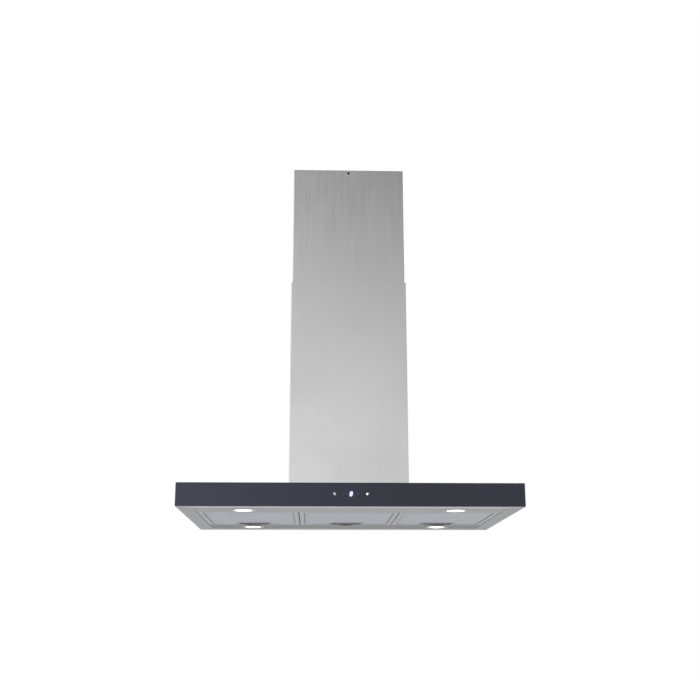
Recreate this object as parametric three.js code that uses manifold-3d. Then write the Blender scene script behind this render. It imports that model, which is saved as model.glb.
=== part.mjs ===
// An island range hood that hangs from the ceiling: a flat canopy with a dark glass front, three
// metal filters and four lamps, a blower box on top of it, and a telescopic chimney in two covers
// around a telescopic frame of four pairs of angle rails.
// Millimetres, +Z up, front towards -Y. The origin is the centre of the ceiling plane.

import * as THREE from "three";
import { mergeVertices } from "three/addons/utils/BufferGeometryUtils.js";
import Module from "manifold-3d";

// ---------------------------------------------------------------- driving dimensions

// Gap between two pieces that touch on the real hood.
const touch = 0.3;

// Canopy.
const canopyWidth = 900;
const canopyDepth = 650;
const canopyHeight = 61;
const canopySheet = 1;
const borderWidth = 41;
const hemHeight = 12;
const glassThickness = 6;
const glassGap = 0.4;

// Chimney covers.
const chimneyHeight = 952;
const coverSheet = 0.8;
const lowerCoverWidth = 330;
const lowerCoverDepth = 300;
const upperCoverShown = 352;
const coverOverlap = 148;
const coverSlip = 2.5;
const coverTopGap = 1;
const coverScrewDrop = 10.5;
const coverScrewRadius = 2.2;

// Ceiling plate and rails.
const plateSheet = 2;
const plateToCover = 1.5;
const plateFlange = 26;
const ductOpeningWidth = 230;
const ductOpeningDepth = 200;
const ceilingSlotLength = 22;
const ceilingSlotWidth = 8;
const ceilingSlotInset = 13;
const railSheet = 2;
const railSlip = 0.5;
const upperRailLeg = 25;
const upperRailLength = 557;
const lowerRailLeg = 22;
const railOverlap = 127.9;
const railSlotWidth = 6;
const railSlotLength = 260;
const railSlotEnd = 20;
const braceHeight = 25;
const braceSheet = 2;

// Base frame and blower box.
const baseSheet = 2;
const baseFlange = 32;
const boxToRails = 7.6;
const intakeMargin = 10;
const boxHeight = 260;
const boxSheet = 1;

// Blower.
const fanRadius = 68;
const fanLength = 136;
const bladeCount = 22;
const bladeDepth = 12;
const bladeSheet = 1.2;
const bladeLean = 31.5;
const hubRadius = 11;
const hubLength = 23;
const shaftRadius = 4;
const bearingSlip = 0.3;
const scrollCutoffGap = 5;
const scrollGrowth = 25;
const scrollMouth = 88;
const fanEndGap = 5.5;
const scrollSheet = 1.5;
const inletLip = 10;
const scrollFootGap = 25.5;
const motorRadius = 42;
const motorNose = 12;
const motorShoulder = 10;
const motorToHub = 3.5;
const shaftInMotor = 15;
const shaftPastHub = 6;
const bracketSheet = 2;
const bracketRim = 9;
const bracketOverlap = 2;
const bracketArm = 12;
const impellerSheet = 2;

// Duct collar and its two backdraft flaps.
const collarRadius = 75;
const collarSheet = 1.5;
const collarHeight = 90;
const collarFlange = 17;
const flapSheet = 1;
const flapSlip = 1.2;
const flapRise = 16;
const pinRadius = 2;
const pinSlip = 0.3;
const knuckleRadius = 3.6;
const knuckleLength = 16;
const ledgeWidth = 5.5;
const ledgeSheet = 3;

// Filters.
const filterCount = 3;
const openingDepth = 350;
const filterSlip = 1.5;
const filterGap = 2.4;
const filterRise = 0.6;
const filterThickness = 10;
const filterSheet = 1.2;
const filterBorder = 12.5;
const meshThickness = 3;
const tabWidth = 20;
const tabReach = 9.5;
const tabSheet = 1.5;
const tabSpread = 80;
const tabSlip = 2;
const tabLift = 0.4;

// Filter latches.
const trayWidth = 90;
const trayDepth = 52;
const traySheet = 1;
const traySetback = 5.5;
const latchWidth = 84;
const latchSheet = 2.5;
const latchBladeSheet = 3;
const latchBladeDrop = 5.4;
const latchBladeEndDrop = 1.8;
const latchBulgeWidth = 50;
const latchSetback = 10;
const latchPlateDepth = 32;
const latchBladeLead = 16;
const springSeatWidth = 12;
const springSeatDrop = 3;
const springSeatSheet = 2;
const tongueWidth = 24;
const tongueSheet = 2;
const tongueClearance = 0.5;
const springRadius = 1.9;
const springWire = 0.35;
const springTurns = 4;

// Lamps.
const lampInset = 169;
const trimRim = 7.5;
const trimSheet = 1.5;
const lensRadius = 23;
const barrelWall = 4.5;
const barrelLength = 14;
const heatSinkLength = 22;
const heatSinkGroove = 5;
const heatSinkTaper = 8;
const lensThickness = 3;
const lampHoleSlip = 0.7;

// Controls and wiring.
const controlHeight = 32;
const boardWidth = 128;
const boardHeight = 24;
const boardSheet = 1.6;
const displayWidth = 14;
const displayHeight = 19;
const displayDepth = 6;
const junctionWidth = 40;
const junctionDepth = 96;
const junctionHeight = 80;
const junctionSheet = 2;
const junctionRise = 40;
const capacitorRadius = 15;
const capacitorLength = 60;
const glandRadius = 9;
const glandNeck = 6.3;
const glandGrip = 8;
const glandTip = 13;
const glandInset = 30;
const cableRadius = 3;
const cableDrop = 5;
const socketInset = 15;

// Facets of a full circle.
const fine = 32;
const medium = 24;
const coarse = 16;

// ---------------------------------------------------------------- derived sizes

const canopyTop = canopyHeight;
const backOfGlass = -canopyDepth / 2 + glassThickness;
const innerHalfWidth = canopyWidth / 2 - borderWidth;
const innerHalfDepth = canopyDepth / 2 - borderWidth;
const stripDepth = innerHalfDepth - openingDepth / 2;
const stripCentre = openingDepth / 2 + stripDepth / 2;
const filterPitch = (2 * innerHalfWidth) / filterCount;
const filterWidth = filterPitch - filterGap;
const filterDepth = openingDepth - 2 * filterSlip;
const lampSpacing = canopyWidth - 2 * lampInset;
const barrelRadius = lensRadius + barrelWall;
const trimRadius = barrelRadius + trimRim;
const lowerCoverHeight = chimneyHeight - upperCoverShown;
const upperCoverHeight = upperCoverShown + coverOverlap;
const upperCoverWidth = lowerCoverWidth - 2 * (coverSheet + coverSlip);
const upperCoverDepth = lowerCoverDepth - 2 * (coverSheet + coverSlip);
const plateWidth = upperCoverWidth - 2 * (coverSheet + plateToCover);
const plateDepth = upperCoverDepth - 2 * (coverSheet + plateToCover);
const upperRailWidth = plateWidth - 2 * (plateSheet + touch);
const upperRailDepth = plateDepth - 2 * (plateSheet + touch);
const lowerRailWidth = upperRailWidth - 2 * (railSheet + railSlip);
const lowerRailDepth = upperRailDepth - 2 * (railSheet + railSlip);
const upperRailEnd = plateSheet + touch + upperRailLength;
const lowerRailStart = chimneyHeight - baseSheet - 2 * touch;
const lowerRailLength = lowerRailStart - upperRailEnd + railOverlap;
const boxWidth = lowerRailWidth - 2 * (railSheet + boxToRails);
const boxDepth = lowerRailDepth - 2 * (railSheet + boxToRails);
const intakeWidth = boxWidth - 2 * intakeMargin;
const intakeDepth = boxDepth - 2 * intakeMargin;
const scrollStart = fanRadius + scrollCutoffGap;
const scrollDepth = fanLength + 2 * (scrollSheet + fanEndGap);
const inletRadius = fanRadius - inletLip;
const blowerRise = scrollStart + scrollGrowth + scrollSheet + scrollFootGap;
const baseWidth = lowerRailWidth + 2 * (touch + baseSheet);
const baseDepth = lowerRailDepth + 2 * (touch + baseSheet);
const baseBottom = canopyTop + touch;
const standing = baseBottom + baseSheet + touch;
const boxTop = standing + boxHeight;
const blowerX = scrollStart + scrollGrowth - scrollMouth / 2;
const blowerZ = standing + blowerRise;
const collarBottom = boxTop + touch;
const pinZ = collarBottom + flapRise;
const hoodZ = -(chimneyHeight + canopyHeight);

// ---------------------------------------------------------------- solids

const wasm = await Module();
wasm.setup();

// A closed three.js geometry as a manifold solid, turned right side out if it came inside out.
function solid(geometry) {
  const bare = geometry.index ? geometry.toNonIndexed() : geometry.clone();
  bare.deleteAttribute("normal");
  bare.deleteAttribute("uv");
  const merged = mergeVertices(bare, 1e-4);
  const numbers = merged.attributes.position.array;
  const triangles = new Uint32Array(merged.index.array);
  const build = () => new wasm.Manifold(new wasm.Mesh({
    numProp: 3, vertProperties: numbers, triVerts: triangles,
  }));
  const first = build();
  if (first.volume() >= 0) return first;
  for (let i = 0; i < triangles.length; i += 3) {
    [triangles[i], triangles[i + 1]] = [triangles[i + 1], triangles[i]];
  }
  return build();
}

// A box from its lowest to its highest corner.
function box(x0, y0, z0, x1, y1, z1) {
  const shape = new THREE.BoxGeometry(x1 - x0, y1 - y0, z1 - z0);
  shape.translate((x0 + x1) / 2, (y0 + y1) / 2, (z0 + z1) / 2);
  return solid(shape);
}

// A box centred on X and Y.
function centredBox(width, depth, z0, z1) {
  return box(-width / 2, -depth / 2, z0, width / 2, depth / 2, z1);
}

// A rectangular tube centred on X and Y, with a wall of the given thickness.
function rectTube(width, depth, z0, z1, wall) {
  return centredBox(width, depth, z0, z1).subtract(
    centredBox(width - 2 * wall, depth - 2 * wall, z0 - 1, z1 + 1));
}

// A round bar along X, Y or Z, centred at the given point.
function bar(axis, radius, length, x, y, z, sides = coarse) {
  const shape = new THREE.CylinderGeometry(radius, radius, length, sides);
  if (axis === "x") shape.rotateZ(Math.PI / 2);
  if (axis === "z") shape.rotateX(Math.PI / 2);
  shape.translate(x, y, z);
  return solid(shape);
}

// A closed profile of [radius, height] points, turned round the Z axis.
function turned(profile, sides = fine) {
  const points = [...profile, profile[0]].map(([r, z]) => new THREE.Vector2(r, z));
  const shape = new THREE.LatheGeometry(points, sides);
  shape.rotateX(Math.PI / 2);
  return solid(shape);
}

// A closed outline in the XZ plane, drawn out along Y from y0 to y1.
function slab(outline, y0, y1) {
  const shape = new THREE.ExtrudeGeometry(
    new THREE.Shape(outline.map(([x, z]) => new THREE.Vector2(x, z))),
    { depth: y1 - y0, bevelEnabled: false });
  shape.rotateX(Math.PI / 2);
  shape.translate(0, y1, 0);
  return solid(shape);
}

// A round wire or cable that follows a curve.
function drawn(curve, radius, sides, steps) {
  const section = new THREE.Shape();
  section.absarc(0, 0, radius, 0, 2 * Math.PI);
  const round = new THREE.Shape(section.getPoints(sides / 2).slice(0, -1));
  return solid(new THREE.ExtrudeGeometry(round, { steps, extrudePath: curve, bevelEnabled: false }));
}

// ---------------------------------------------------------------- finishes

const finish = (color, roughness, metalness) =>
  new THREE.MeshStandardMaterial({ color, roughness, metalness });
const brushedSteel = finish(0xb9babd, 0.35, 1);
const zincSteel = finish(0x9da1a4, 0.5, 1);
const darkGlass = finish(0x34363f, 0.08, 0);
const aluminium = finish(0xc2c6ca, 0.4, 1);
const chromeTrim = finish(0xd0d2d4, 0.15, 1);
const frosted = finish(0xfdfdf8, 0.3, 0);
const blackPlastic = finish(0x3c3e3c, 0.5, 0);
const circuitGreen = finish(0x1f5134, 0.5, 0);
const springSteel = finish(0x8c8f92, 0.3, 1);
const cableGrey = finish(0x606266, 0.6, 0);

// One named piece, from a manifold solid, a finish and the group that carries it.
function piece(name, shape, material, group) {
  const { vertProperties, triVerts, numProp } = shape.getMesh();
  const count = vertProperties.length / numProp;
  const positions = new Float32Array(count * 3);
  for (let i = 0; i < count; i++) {
    positions.set(vertProperties.subarray(i * numProp, i * numProp + 3), i * 3);
  }
  const geometry = new THREE.BufferGeometry();
  geometry.setAttribute("position", new THREE.BufferAttribute(positions, 3));
  geometry.setIndex(new THREE.BufferAttribute(triVerts, 1));
  geometry.computeVertexNormals();
  const mesh = new THREE.Mesh(geometry, material);
  mesh.name = name;
  group.add(mesh);
  return mesh;
}

const rangeHood = new THREE.Group();
const ceilingFrame = new THREE.Group();
const hood = new THREE.Group();
hood.position.set(0, 0, hoodZ);
rangeHood.add(ceilingFrame, hood);

// ---------------------------------------------------------------- ceiling plate, rails and braces

// A folded steel plate: a deck with a wide opening for the duct, four slots for the ceiling
// screws, and a flange all round that carries the rails and the upper cover.
function makeCeilingPlate() {
  let plate = centredBox(plateWidth, plateDepth, -plateFlange, 0)
    .subtract(centredBox(plateWidth - 2 * plateSheet, plateDepth - 2 * plateSheet,
      -plateFlange - 1, -plateSheet))
    .subtract(centredBox(ductOpeningWidth, ductOpeningDepth, -plateFlange, 1));
  const slotX = plateWidth / 2 - plateSheet - ceilingSlotInset;
  const slotY = plateDepth / 2 - plateSheet - ceilingSlotInset;
  for (const side of [-1, 1]) {
    for (const end of [-1, 1]) {
      const x = side * slotX - (side * ceilingSlotLength) / 2;
      plate = plate.subtract(box(
        x - ceilingSlotLength / 2, end * slotY - ceilingSlotWidth / 2, -plateSheet - 1,
        x + ceilingSlotLength / 2, end * slotY + ceilingSlotWidth / 2, 1));
    }
  }
  plate = plate.subtract(bar("y", coverScrewRadius, plateDepth + 2, 0, 0, -coverScrewDrop));
  piece("ceiling_plate", plate, zincSteel, ceilingFrame);
}

// One angle rail in the corner (sideX, sideY) of a frame of the given outer width and depth,
// with an adjusting slot in each leg.
function angleRail(width, depth, leg, sideX, sideY, z0, z1, slotZ0, slotZ1) {
  const x = (sideX * width) / 2;
  const y = (sideY * depth) / 2;
  const span = (a, b) => [Math.min(a, b), Math.max(a, b)];
  const [ax0, ax1] = span(x, x - sideX * leg);
  const [ay0, ay1] = span(y, y - sideY * railSheet);
  const [bx0, bx1] = span(x, x - sideX * railSheet);
  const [by0, by1] = span(y, y - sideY * leg);
  const slotX = x - sideX * (leg / 2 + railSheet / 2);
  const slotY = y - sideY * (leg / 2 + railSheet / 2);
  const half = railSlotWidth / 2;
  return box(ax0, ay0, z0, ax1, ay1, z1)
    .add(box(bx0, by0, z0, bx1, by1, z1))
    .subtract(box(slotX - half, ay0 - 1, slotZ0, slotX + half, ay1 + 1, slotZ1))
    .subtract(box(bx0 - 1, slotY - half, slotZ0, bx1 + 1, slotY + half, slotZ1));
}

const corners = [
  ["front_left", -1, -1],
  ["front_right", 1, -1],
  ["rear_left", -1, 1],
  ["rear_right", 1, 1],
];

// The upper rails hang from the plate, and a brace ties their lower ends from outside.
function makeUpperFrame() {
  const top = -plateSheet - touch;
  const bottom = top - upperRailLength;
  for (const [where, sideX, sideY] of corners) {
    piece(`upper_rail_${where}`,
      angleRail(upperRailWidth, upperRailDepth, upperRailLeg, sideX, sideY,
        bottom, top, bottom + railSlotEnd, bottom + railSlotEnd + railSlotLength),
      zincSteel, ceilingFrame);
  }
  const outer = 2 * (touch + braceSheet);
  piece("upper_brace",
    rectTube(upperRailWidth + outer, upperRailDepth + outer, bottom, bottom + braceHeight, braceSheet),
    zincSteel, ceilingFrame);
}

// The lower rails stand on the base frame inside the upper ones, tied at the top from inside.
function makeLowerFrame() {
  const top = standing + lowerRailLength;
  for (const [where, sideX, sideY] of corners) {
    piece(`lower_rail_${where}`,
      angleRail(lowerRailWidth, lowerRailDepth, lowerRailLeg, sideX, sideY,
        standing, top, top - railSlotEnd - railSlotLength, top - railSlotEnd),
      zincSteel, hood);
  }
  const inner = 2 * (railSheet + touch);
  piece("lower_brace",
    rectTube(lowerRailWidth - inner, lowerRailDepth - inner, top - braceHeight, top, braceSheet),
    zincSteel, hood);
}

// ---------------------------------------------------------------- chimney covers

// The upper cover hangs on the ceiling plate by a screw in front and one behind.
function makeUpperCover() {
  const cover = rectTube(upperCoverWidth, upperCoverDepth,
    -coverTopGap - upperCoverHeight, -coverTopGap, coverSheet)
    .subtract(bar("y", coverScrewRadius, upperCoverDepth + 2, 0, 0, -coverScrewDrop));
  piece("upper_cover", cover, brushedSteel, ceilingFrame);
}

// The lower cover stands on the canopy and slides up outside the upper one.
function makeLowerCover() {
  const foot = canopyTop + touch;
  piece("lower_cover",
    rectTube(lowerCoverWidth, lowerCoverDepth, foot, foot + lowerCoverHeight, coverSheet),
    brushedSteel, hood);
}

// ---------------------------------------------------------------- canopy

// A shallow folded box, open below inside a hemmed border, with the intake cut in its top and a
// window in its front wall for the controls.
function makeCanopyShell() {
  const front = backOfGlass + glassGap;
  const back = canopyDepth / 2;
  const half = canopyWidth / 2;
  const wall = canopySheet;
  const shell = box(-half, front, 0, half, back, canopyHeight)
    .subtract(box(-half + wall, front + wall, wall, half - wall, back - wall, canopyHeight - wall))
    .subtract(centredBox(2 * innerHalfWidth, 2 * innerHalfDepth, -1, 2 * wall))
    .add(rectTube(2 * (innerHalfWidth + wall), 2 * (innerHalfDepth + wall), 0, hemHeight, wall))
    .subtract(centredBox(intakeWidth, intakeDepth, canopyHeight - 2 * wall, canopyHeight + 1))
    .subtract(box(-boardWidth / 2 - 1, front - 1, controlHeight - boardHeight / 2 - 1,
      boardWidth / 2 + 1, front + 2 * wall, controlHeight + boardHeight / 2 + 1));
  piece("canopy_shell", shell, brushedSteel, hood);
}

function makeFrontGlass() {
  const half = canopyWidth / 2;
  piece("front_glass", box(-half, -canopyDepth / 2, 0, half, backOfGlass, canopyHeight),
    darkGlass, hood);
}

// The front and rear strips of the underside carry two lamps each. The front strip's upstand is
// notched for the filters' tabs, and the rear one's is low, under the latches' tongues.
function makeLampPanel(name, side, upstand, notches) {
  const sheet = canopySheet;
  const half = innerHalfWidth - touch;
  const near = openingDepth / 2;
  const far = innerHalfDepth - touch;
  const y = (a, b) => (side < 0 ? [-b, -a] : [a, b]);
  const [y0, y1] = y(near, far);
  const [u0, u1] = y(near, near + sheet);
  let panel = box(-half, y0, filterRise, half, y1, filterRise + sheet)
    .add(box(-half, u0, filterRise, half, u1, filterRise + upstand));
  const [f0, f1] = y(far - sheet, far);
  panel = panel.add(box(-half, f0, filterRise, half, f1, hemHeight));
  for (const x of notches) {
    panel = panel.subtract(box(x - tabWidth / 2 - tabSlip, u0 - 1, filterRise + sheet,
      x + tabWidth / 2 + tabSlip, u1 + 1, filterRise + upstand + 1));
  }
  for (const x of [-lampSpacing / 2, lampSpacing / 2]) {
    panel = panel.subtract(
      bar("z", barrelRadius + lampHoleSlip, 4 * sheet, x, side * stripCentre, filterRise, fine));
  }
  piece(name, panel, brushedSteel, hood);
}

function makeLampPanels() {
  const tabs = [];
  for (let i = 0; i < filterCount; i++) {
    const centre = (i - (filterCount - 1) / 2) * filterPitch;
    tabs.push(centre - tabSpread, centre + tabSpread);
  }
  makeLampPanel("lamp_panel_front", -1, filterThickness, tabs);
  makeLampPanel("lamp_panel_rear", 1, filterThickness / 2, []);
}

// A lamp: a trim ring with a barrel through the panel, a frosted lens and a heat sink behind.
function makeLamp(where, x, y) {
  const face = filterRise - touch;
  const bore = lensRadius + touch;
  const seat = face - trimSheet;
  const trim = turned([
    [bore, seat], [trimRadius - trimSheet, seat], [trimRadius, face - trimSheet / 2], [trimRadius, face],
    [barrelRadius, face], [barrelRadius, face + barrelLength], [bore, face + barrelLength],
  ]);
  const lens = turned([
    [0, seat + touch], [lensRadius - trimSheet, seat + touch], [lensRadius, seat + 2 * touch],
    [lensRadius, seat + touch + lensThickness], [0, seat + touch + lensThickness],
  ], medium);
  const sinkBottom = face + barrelLength + touch;
  const step = heatSinkLength / 4;
  const sink = turned([
    [0, sinkBottom], [barrelRadius, sinkBottom], [barrelRadius, sinkBottom + step],
    [barrelRadius - heatSinkGroove, sinkBottom + step],
    [barrelRadius - heatSinkGroove, sinkBottom + 2 * step],
    [barrelRadius, sinkBottom + 2 * step], [barrelRadius, sinkBottom + 3 * step],
    [barrelRadius - heatSinkTaper, sinkBottom + 3 * step],
    [barrelRadius - heatSinkTaper, sinkBottom + heatSinkLength],
    [0, sinkBottom + heatSinkLength],
  ], coarse);
  const at = (shape) => shape.translate([x, y, 0]);
  piece(`lamp_trim_${where}`, at(trim), chromeTrim, hood);
  piece(`lamp_lens_${where}`, at(lens), frosted, hood);
  piece(`lamp_heat_sink_${where}`, at(sink), aluminium, hood);
}

function makeLamps() {
  for (const [where, sideX, sideY] of corners) {
    makeLamp(where, (sideX * lampSpacing) / 2, sideY * stripCentre);
  }
}

// The touch board sits behind the glass in the front wall's window, with the display in front.
function makeControls() {
  const displayFront = backOfGlass + touch;
  const displayBack = displayFront + displayDepth;
  const boardFront = displayBack + touch;
  piece("display_module",
    box(-displayWidth / 2, displayFront, controlHeight - displayHeight / 2,
      displayWidth / 2, displayBack, controlHeight + displayHeight / 2),
    blackPlastic, hood);
  piece("control_board",
    box(-boardWidth / 2, boardFront, controlHeight - boardHeight / 2,
      boardWidth / 2, boardFront + boardSheet, controlHeight + boardHeight / 2),
    circuitGreen, hood);
  return boardFront + boardSheet;
}

// ---------------------------------------------------------------- base frame and blower box

// A ring on the canopy's top with an upstand all round, which holds the rails and the box.
function makeBaseFrame() {
  const frame = centredBox(baseWidth, baseDepth, baseBottom, baseBottom + baseFlange)
    .subtract(centredBox(baseWidth - 2 * baseSheet, baseDepth - 2 * baseSheet,
      baseBottom + baseSheet, baseBottom + baseFlange + 1))
    .subtract(centredBox(intakeWidth, intakeDepth, baseBottom - 1, baseBottom + baseFlange));
  piece("base_frame", frame, zincSteel, hood);
}

// A sheet box over the intake, open below, with a round outlet in its top.
function makeBlowerBox(glandX, glandY) {
  const blowerBox = centredBox(boxWidth, boxDepth, standing, boxTop)
    .subtract(centredBox(boxWidth - 2 * boxSheet, boxDepth - 2 * boxSheet,
      standing - 1, boxTop - boxSheet))
    .subtract(bar("z", collarRadius - collarSheet, 4 * boxSheet, 0, 0, boxTop, fine))
    .subtract(bar("z", glandNeck + touch, 4 * boxSheet, glandX, glandY, boxTop));
  piece("blower_box", blowerBox, zincSteel, hood);
}

// The scroll's outline: a spiral that grows from the cut-off, then a straight neck to the mouth.
// skin is the distance outside the air passage.
function scrollOutline(skin) {
  const neckX = scrollMouth - scrollStart - scrollGrowth;
  const startAngle = Math.acos((neckX + skin) / (scrollStart + skin));
  const sweep = startAngle + Math.PI;
  const steps = 26;
  const outline = [];
  for (let i = 0; i <= steps; i++) {
    const angle = startAngle - (sweep * i) / steps;
    const radius = scrollStart + skin + (scrollGrowth * i) / steps;
    outline.push([radius * Math.cos(angle), radius * Math.sin(angle)]);
  }
  const mouth = boxTop - boxSheet - touch - blowerZ;
  outline.push([-(scrollStart + scrollGrowth + skin), mouth]);
  outline.push([neckX + skin, mouth]);
  return outline.map(([x, z]) => [x + blowerX, z + blowerZ]);
}

// Two half shells, joined on the blower's middle plane, each with a round inlet.
function makeScroll() {
  const half = scrollDepth / 2;
  for (const [name, side] of [["scroll_front", -1], ["scroll_rear", 1]]) {
    const seam = touch / 2;
    const span = (a, b) => (side < 0 ? [-b, -a] : [a, b]);
    const [o0, o1] = span(seam, half);
    const [i0, i1] = span(-1, half - scrollSheet);
    const shell = slab(scrollOutline(scrollSheet), o0, o1)
      .subtract(slab(scrollOutline(0), i0, i1))
      .subtract(box(-boxWidth, -half, boxTop - boxSheet - touch - 0.5, boxWidth, half, boxTop))
      .subtract(bar("y", inletRadius, 4 * scrollSheet, blowerX, side * half, blowerZ, fine));
    piece(name, shell, zincSteel, hood);
  }
}

// The motor hangs inside the fan on a three-armed bracket across the front inlet.
function makeMotor() {
  const wall = -scrollDepth / 2 - touch;
  const middle = wall - bracketSheet / 2;
  const armLength = inletRadius + 2 * bracketOverlap;
  const armHalf = bracketArm / 2;
  let bracket = bar("y", inletRadius + bracketRim, bracketSheet, blowerX, middle, blowerZ, fine)
    .subtract(bar("y", inletRadius - bracketOverlap, 3 * bracketSheet, blowerX, wall, blowerZ, fine))
    .add(bar("y", motorRadius - motorNose, bracketSheet, blowerX, middle, blowerZ, medium));
  for (let i = 0; i < 3; i++) {
    const arm = box(-armHalf, wall - bracketSheet, 0, armHalf, wall, armLength)
      .rotate([0, i * 120, 0])
      .translate([blowerX, 0, blowerZ]);
    bracket = bracket.add(arm);
  }
  piece("motor_bracket", bracket, zincSteel, hood);

  const front = wall + touch;
  const back = -hubLength / 2 + motorToHub;
  const shaftFront = front + shaftInMotor;
  const can = turned([
    [0, front], [motorRadius - motorNose, front], [motorRadius, front + motorShoulder],
    [motorRadius, back - motorShoulder], [motorRadius - motorNose, back],
    [shaftRadius + bearingSlip, back], [shaftRadius + bearingSlip, shaftFront - touch],
    [0, shaftFront - touch],
  ], medium).rotate([-90, 0, 0]).translate([blowerX, 0, blowerZ]);
  piece("motor", can, blackPlastic, hood);

  const shaftBack = hubLength / 2 + shaftPastHub;
  piece("motor_shaft",
    bar("y", shaftRadius, shaftBack - shaftFront, blowerX, (shaftBack + shaftFront) / 2, blowerZ),
    springSteel, hood);
}

// A double-inlet drum fan: a middle disc and hub, a ring at each end, and blades all round.
function makeImpeller() {
  const half = fanLength / 2;
  const sheet = impellerSheet;
  const ring = (y) => bar("y", fanRadius, sheet, 0, y, 0, medium)
    .subtract(bar("y", fanRadius - bladeDepth, 3 * sheet, 0, y, 0, medium));
  const hubStart = -hubLength / 2 + motorToHub + 1.5;
  const hubEnd = hubLength / 2;
  let fan = bar("y", fanRadius - sheet / 2, sheet, 0, 0, 0, medium)
    .add(bar("y", hubRadius, hubEnd - hubStart, 0, (hubStart + hubEnd) / 2, 0))
    .add(ring(-half + sheet / 2))
    .add(ring(half - sheet / 2));
  const middle = fanRadius - bladeDepth / 2;
  const bladeX = (bladeDepth - 1) / 2;
  const bladeY = (fanLength - 1) / 2;
  const bladeZ = bladeSheet / 2;
  for (let i = 0; i < bladeCount; i++) {
    const blade = box(-bladeX, -bladeY, -bladeZ, bladeX, bladeY, bladeZ)
      .rotate([0, bladeLean, 0])
      .translate([middle, 0, 0])
      .rotate([0, (360 * i) / bladeCount, 0]);
    fan = fan.add(blade);
  }
  fan = fan.subtract(bar("y", shaftRadius + touch, fanLength, 0, 0, 0));
  piece("impeller", fan.translate([blowerX, 0, blowerZ]), aluminium, hood);
}

// ---------------------------------------------------------------- duct collar and flaps

function makeCollar() {
  const inner = collarRadius - collarSheet;
  const top = collarBottom + collarHeight;
  const ledgeTop = pinZ - flapSheet / 2 - touch;
  const collar = turned([
    [inner, collarBottom], [collarRadius + collarFlange, collarBottom],
    [collarRadius + collarFlange, collarBottom + 2], [collarRadius, collarBottom + 2],
    [collarRadius, top], [inner, top], [inner, ledgeTop], [inner - ledgeWidth, ledgeTop],
    [inner - ledgeWidth, ledgeTop - ledgeSheet], [inner, ledgeTop - ledgeSheet],
  ]).subtract(bar("x", pinRadius + pinSlip, 2 * collarRadius + 4, 0, 0, pinZ));
  piece("outlet_collar", collar, zincSteel, hood);
  piece("damper_pin", bar("x", pinRadius, 2 * collarRadius + 3, 0, 0, pinZ), springSteel, hood);
}

// A half disc on two knuckles round the pin. side -1 is the front flap.
function makeFlap(name, side, knuckles) {
  const radius = collarRadius - collarSheet - flapSlip;
  const root = knuckleRadius + 2 * touch;
  const thick = flapSheet / 2;
  const reach = knuckleLength / 2;
  const span = (a, b) => (side < 0 ? [-b, -a] : [a, b]);
  const [near, far] = span(root, radius + 1);
  const [armNear, armFar] = span(pinRadius, root + 1);
  let flap = bar("z", radius, flapSheet, 0, 0, 0, fine)
    .intersect(box(-radius, near, -flapSheet, radius, far, flapSheet));
  for (const x of knuckles) {
    flap = flap.add(bar("x", knuckleRadius, knuckleLength, x, 0, 0))
      .add(box(x - reach, armNear, -thick, x + reach, armFar, thick));
  }
  flap = flap.subtract(bar("x", pinRadius + pinSlip, 2 * radius, 0, 0, 0));
  piece(name, flap.translate([0, 0, pinZ]), aluminium, hood);
}

function makeFlaps() {
  const near = knuckleLength * 1.1;
  const far = knuckleLength * 3;
  makeFlap("damper_flap_front", -1, [-far, near]);
  makeFlap("damper_flap_rear", 1, [-near, far]);
}

// ---------------------------------------------------------------- wiring

// The junction box hangs on the blower box's left wall, and its lid faces the blower.
function makeWiring(glandX, glandY, boardBack) {
  const wall = -boxWidth / 2 + boxSheet + touch;
  const bottom = standing + junctionRise;
  const top = bottom + junctionHeight;
  const half = junctionDepth / 2;
  const sheet = junctionSheet;
  const open = wall + junctionWidth;
  piece("junction_box",
    box(wall, -half, bottom, open, half, top)
      .subtract(box(wall + sheet, -half + sheet, bottom + sheet, open + 1, half - sheet, top - sheet)),
    blackPlastic, hood);
  piece("junction_lid",
    box(open + touch, -half - 1, bottom - 1, open + touch + sheet, half + 1, top + 1),
    blackPlastic, hood);
  piece("capacitor",
    bar("z", capacitorRadius, capacitorLength, wall + capacitorRadius, half + 1 + capacitorRadius,
      bottom + capacitorLength / 2, medium),
    cableGrey, hood);

  const bore = cableRadius + 1;
  const gland = turned([
    [bore, -glandGrip], [glandNeck, -glandGrip], [glandNeck, touch],
    [glandRadius, touch], [glandRadius, glandGrip], [glandNeck, glandTip], [bore, glandTip],
  ], coarse).translate([glandX, glandY, boxTop]);
  piece("supply_gland", gland, blackPlastic, hood);

  // From the touch board, along under the canopy's top, and up into the junction box.
  const cableX = wall + junctionWidth / 2;
  const socketX = -boardWidth / 2 + socketInset;
  const run = canopyTop - canopySheet - cableRadius - cableDrop;
  const intakeLip = -intakeDepth / 2;
  const route = new THREE.CatmullRomCurve3([
    [socketX, boardBack + touch, controlHeight],
    [socketX, boardBack + 6, controlHeight],
    [socketX - 3, boardBack + 16, controlHeight + 2],
    [socketX - 15, boardBack + 40, run - 8],
    [cableX * 0.7, intakeLip - 90, run],
    [cableX * 0.95, intakeLip - 30, run],
    [cableX, intakeLip + 30, run + 2],
    [cableX, -half + 25, run + 12],
    [cableX, -half + 35, standing + 12],
    [cableX, -half + 36, bottom - touch],
  ].map((p) => new THREE.Vector3(...p)));
  piece("control_cable", drawn(route, cableRadius, 8, 56), cableGrey, hood);
}

// ---------------------------------------------------------------- filters and latches

// The tray's front, rear and the latch's front face, measured on Y.
const filterBack = filterDepth / 2;
const trayBack = filterBack - traySetback;
const trayFront = trayBack - trayDepth;
const latchFront = trayFront + latchSetback;
const filterTop = filterRise + filterThickness;
const trayCeiling = filterTop - traySheet;
const latchTop = trayCeiling - touch;
const latchUnder = latchTop - latchSheet;

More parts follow.
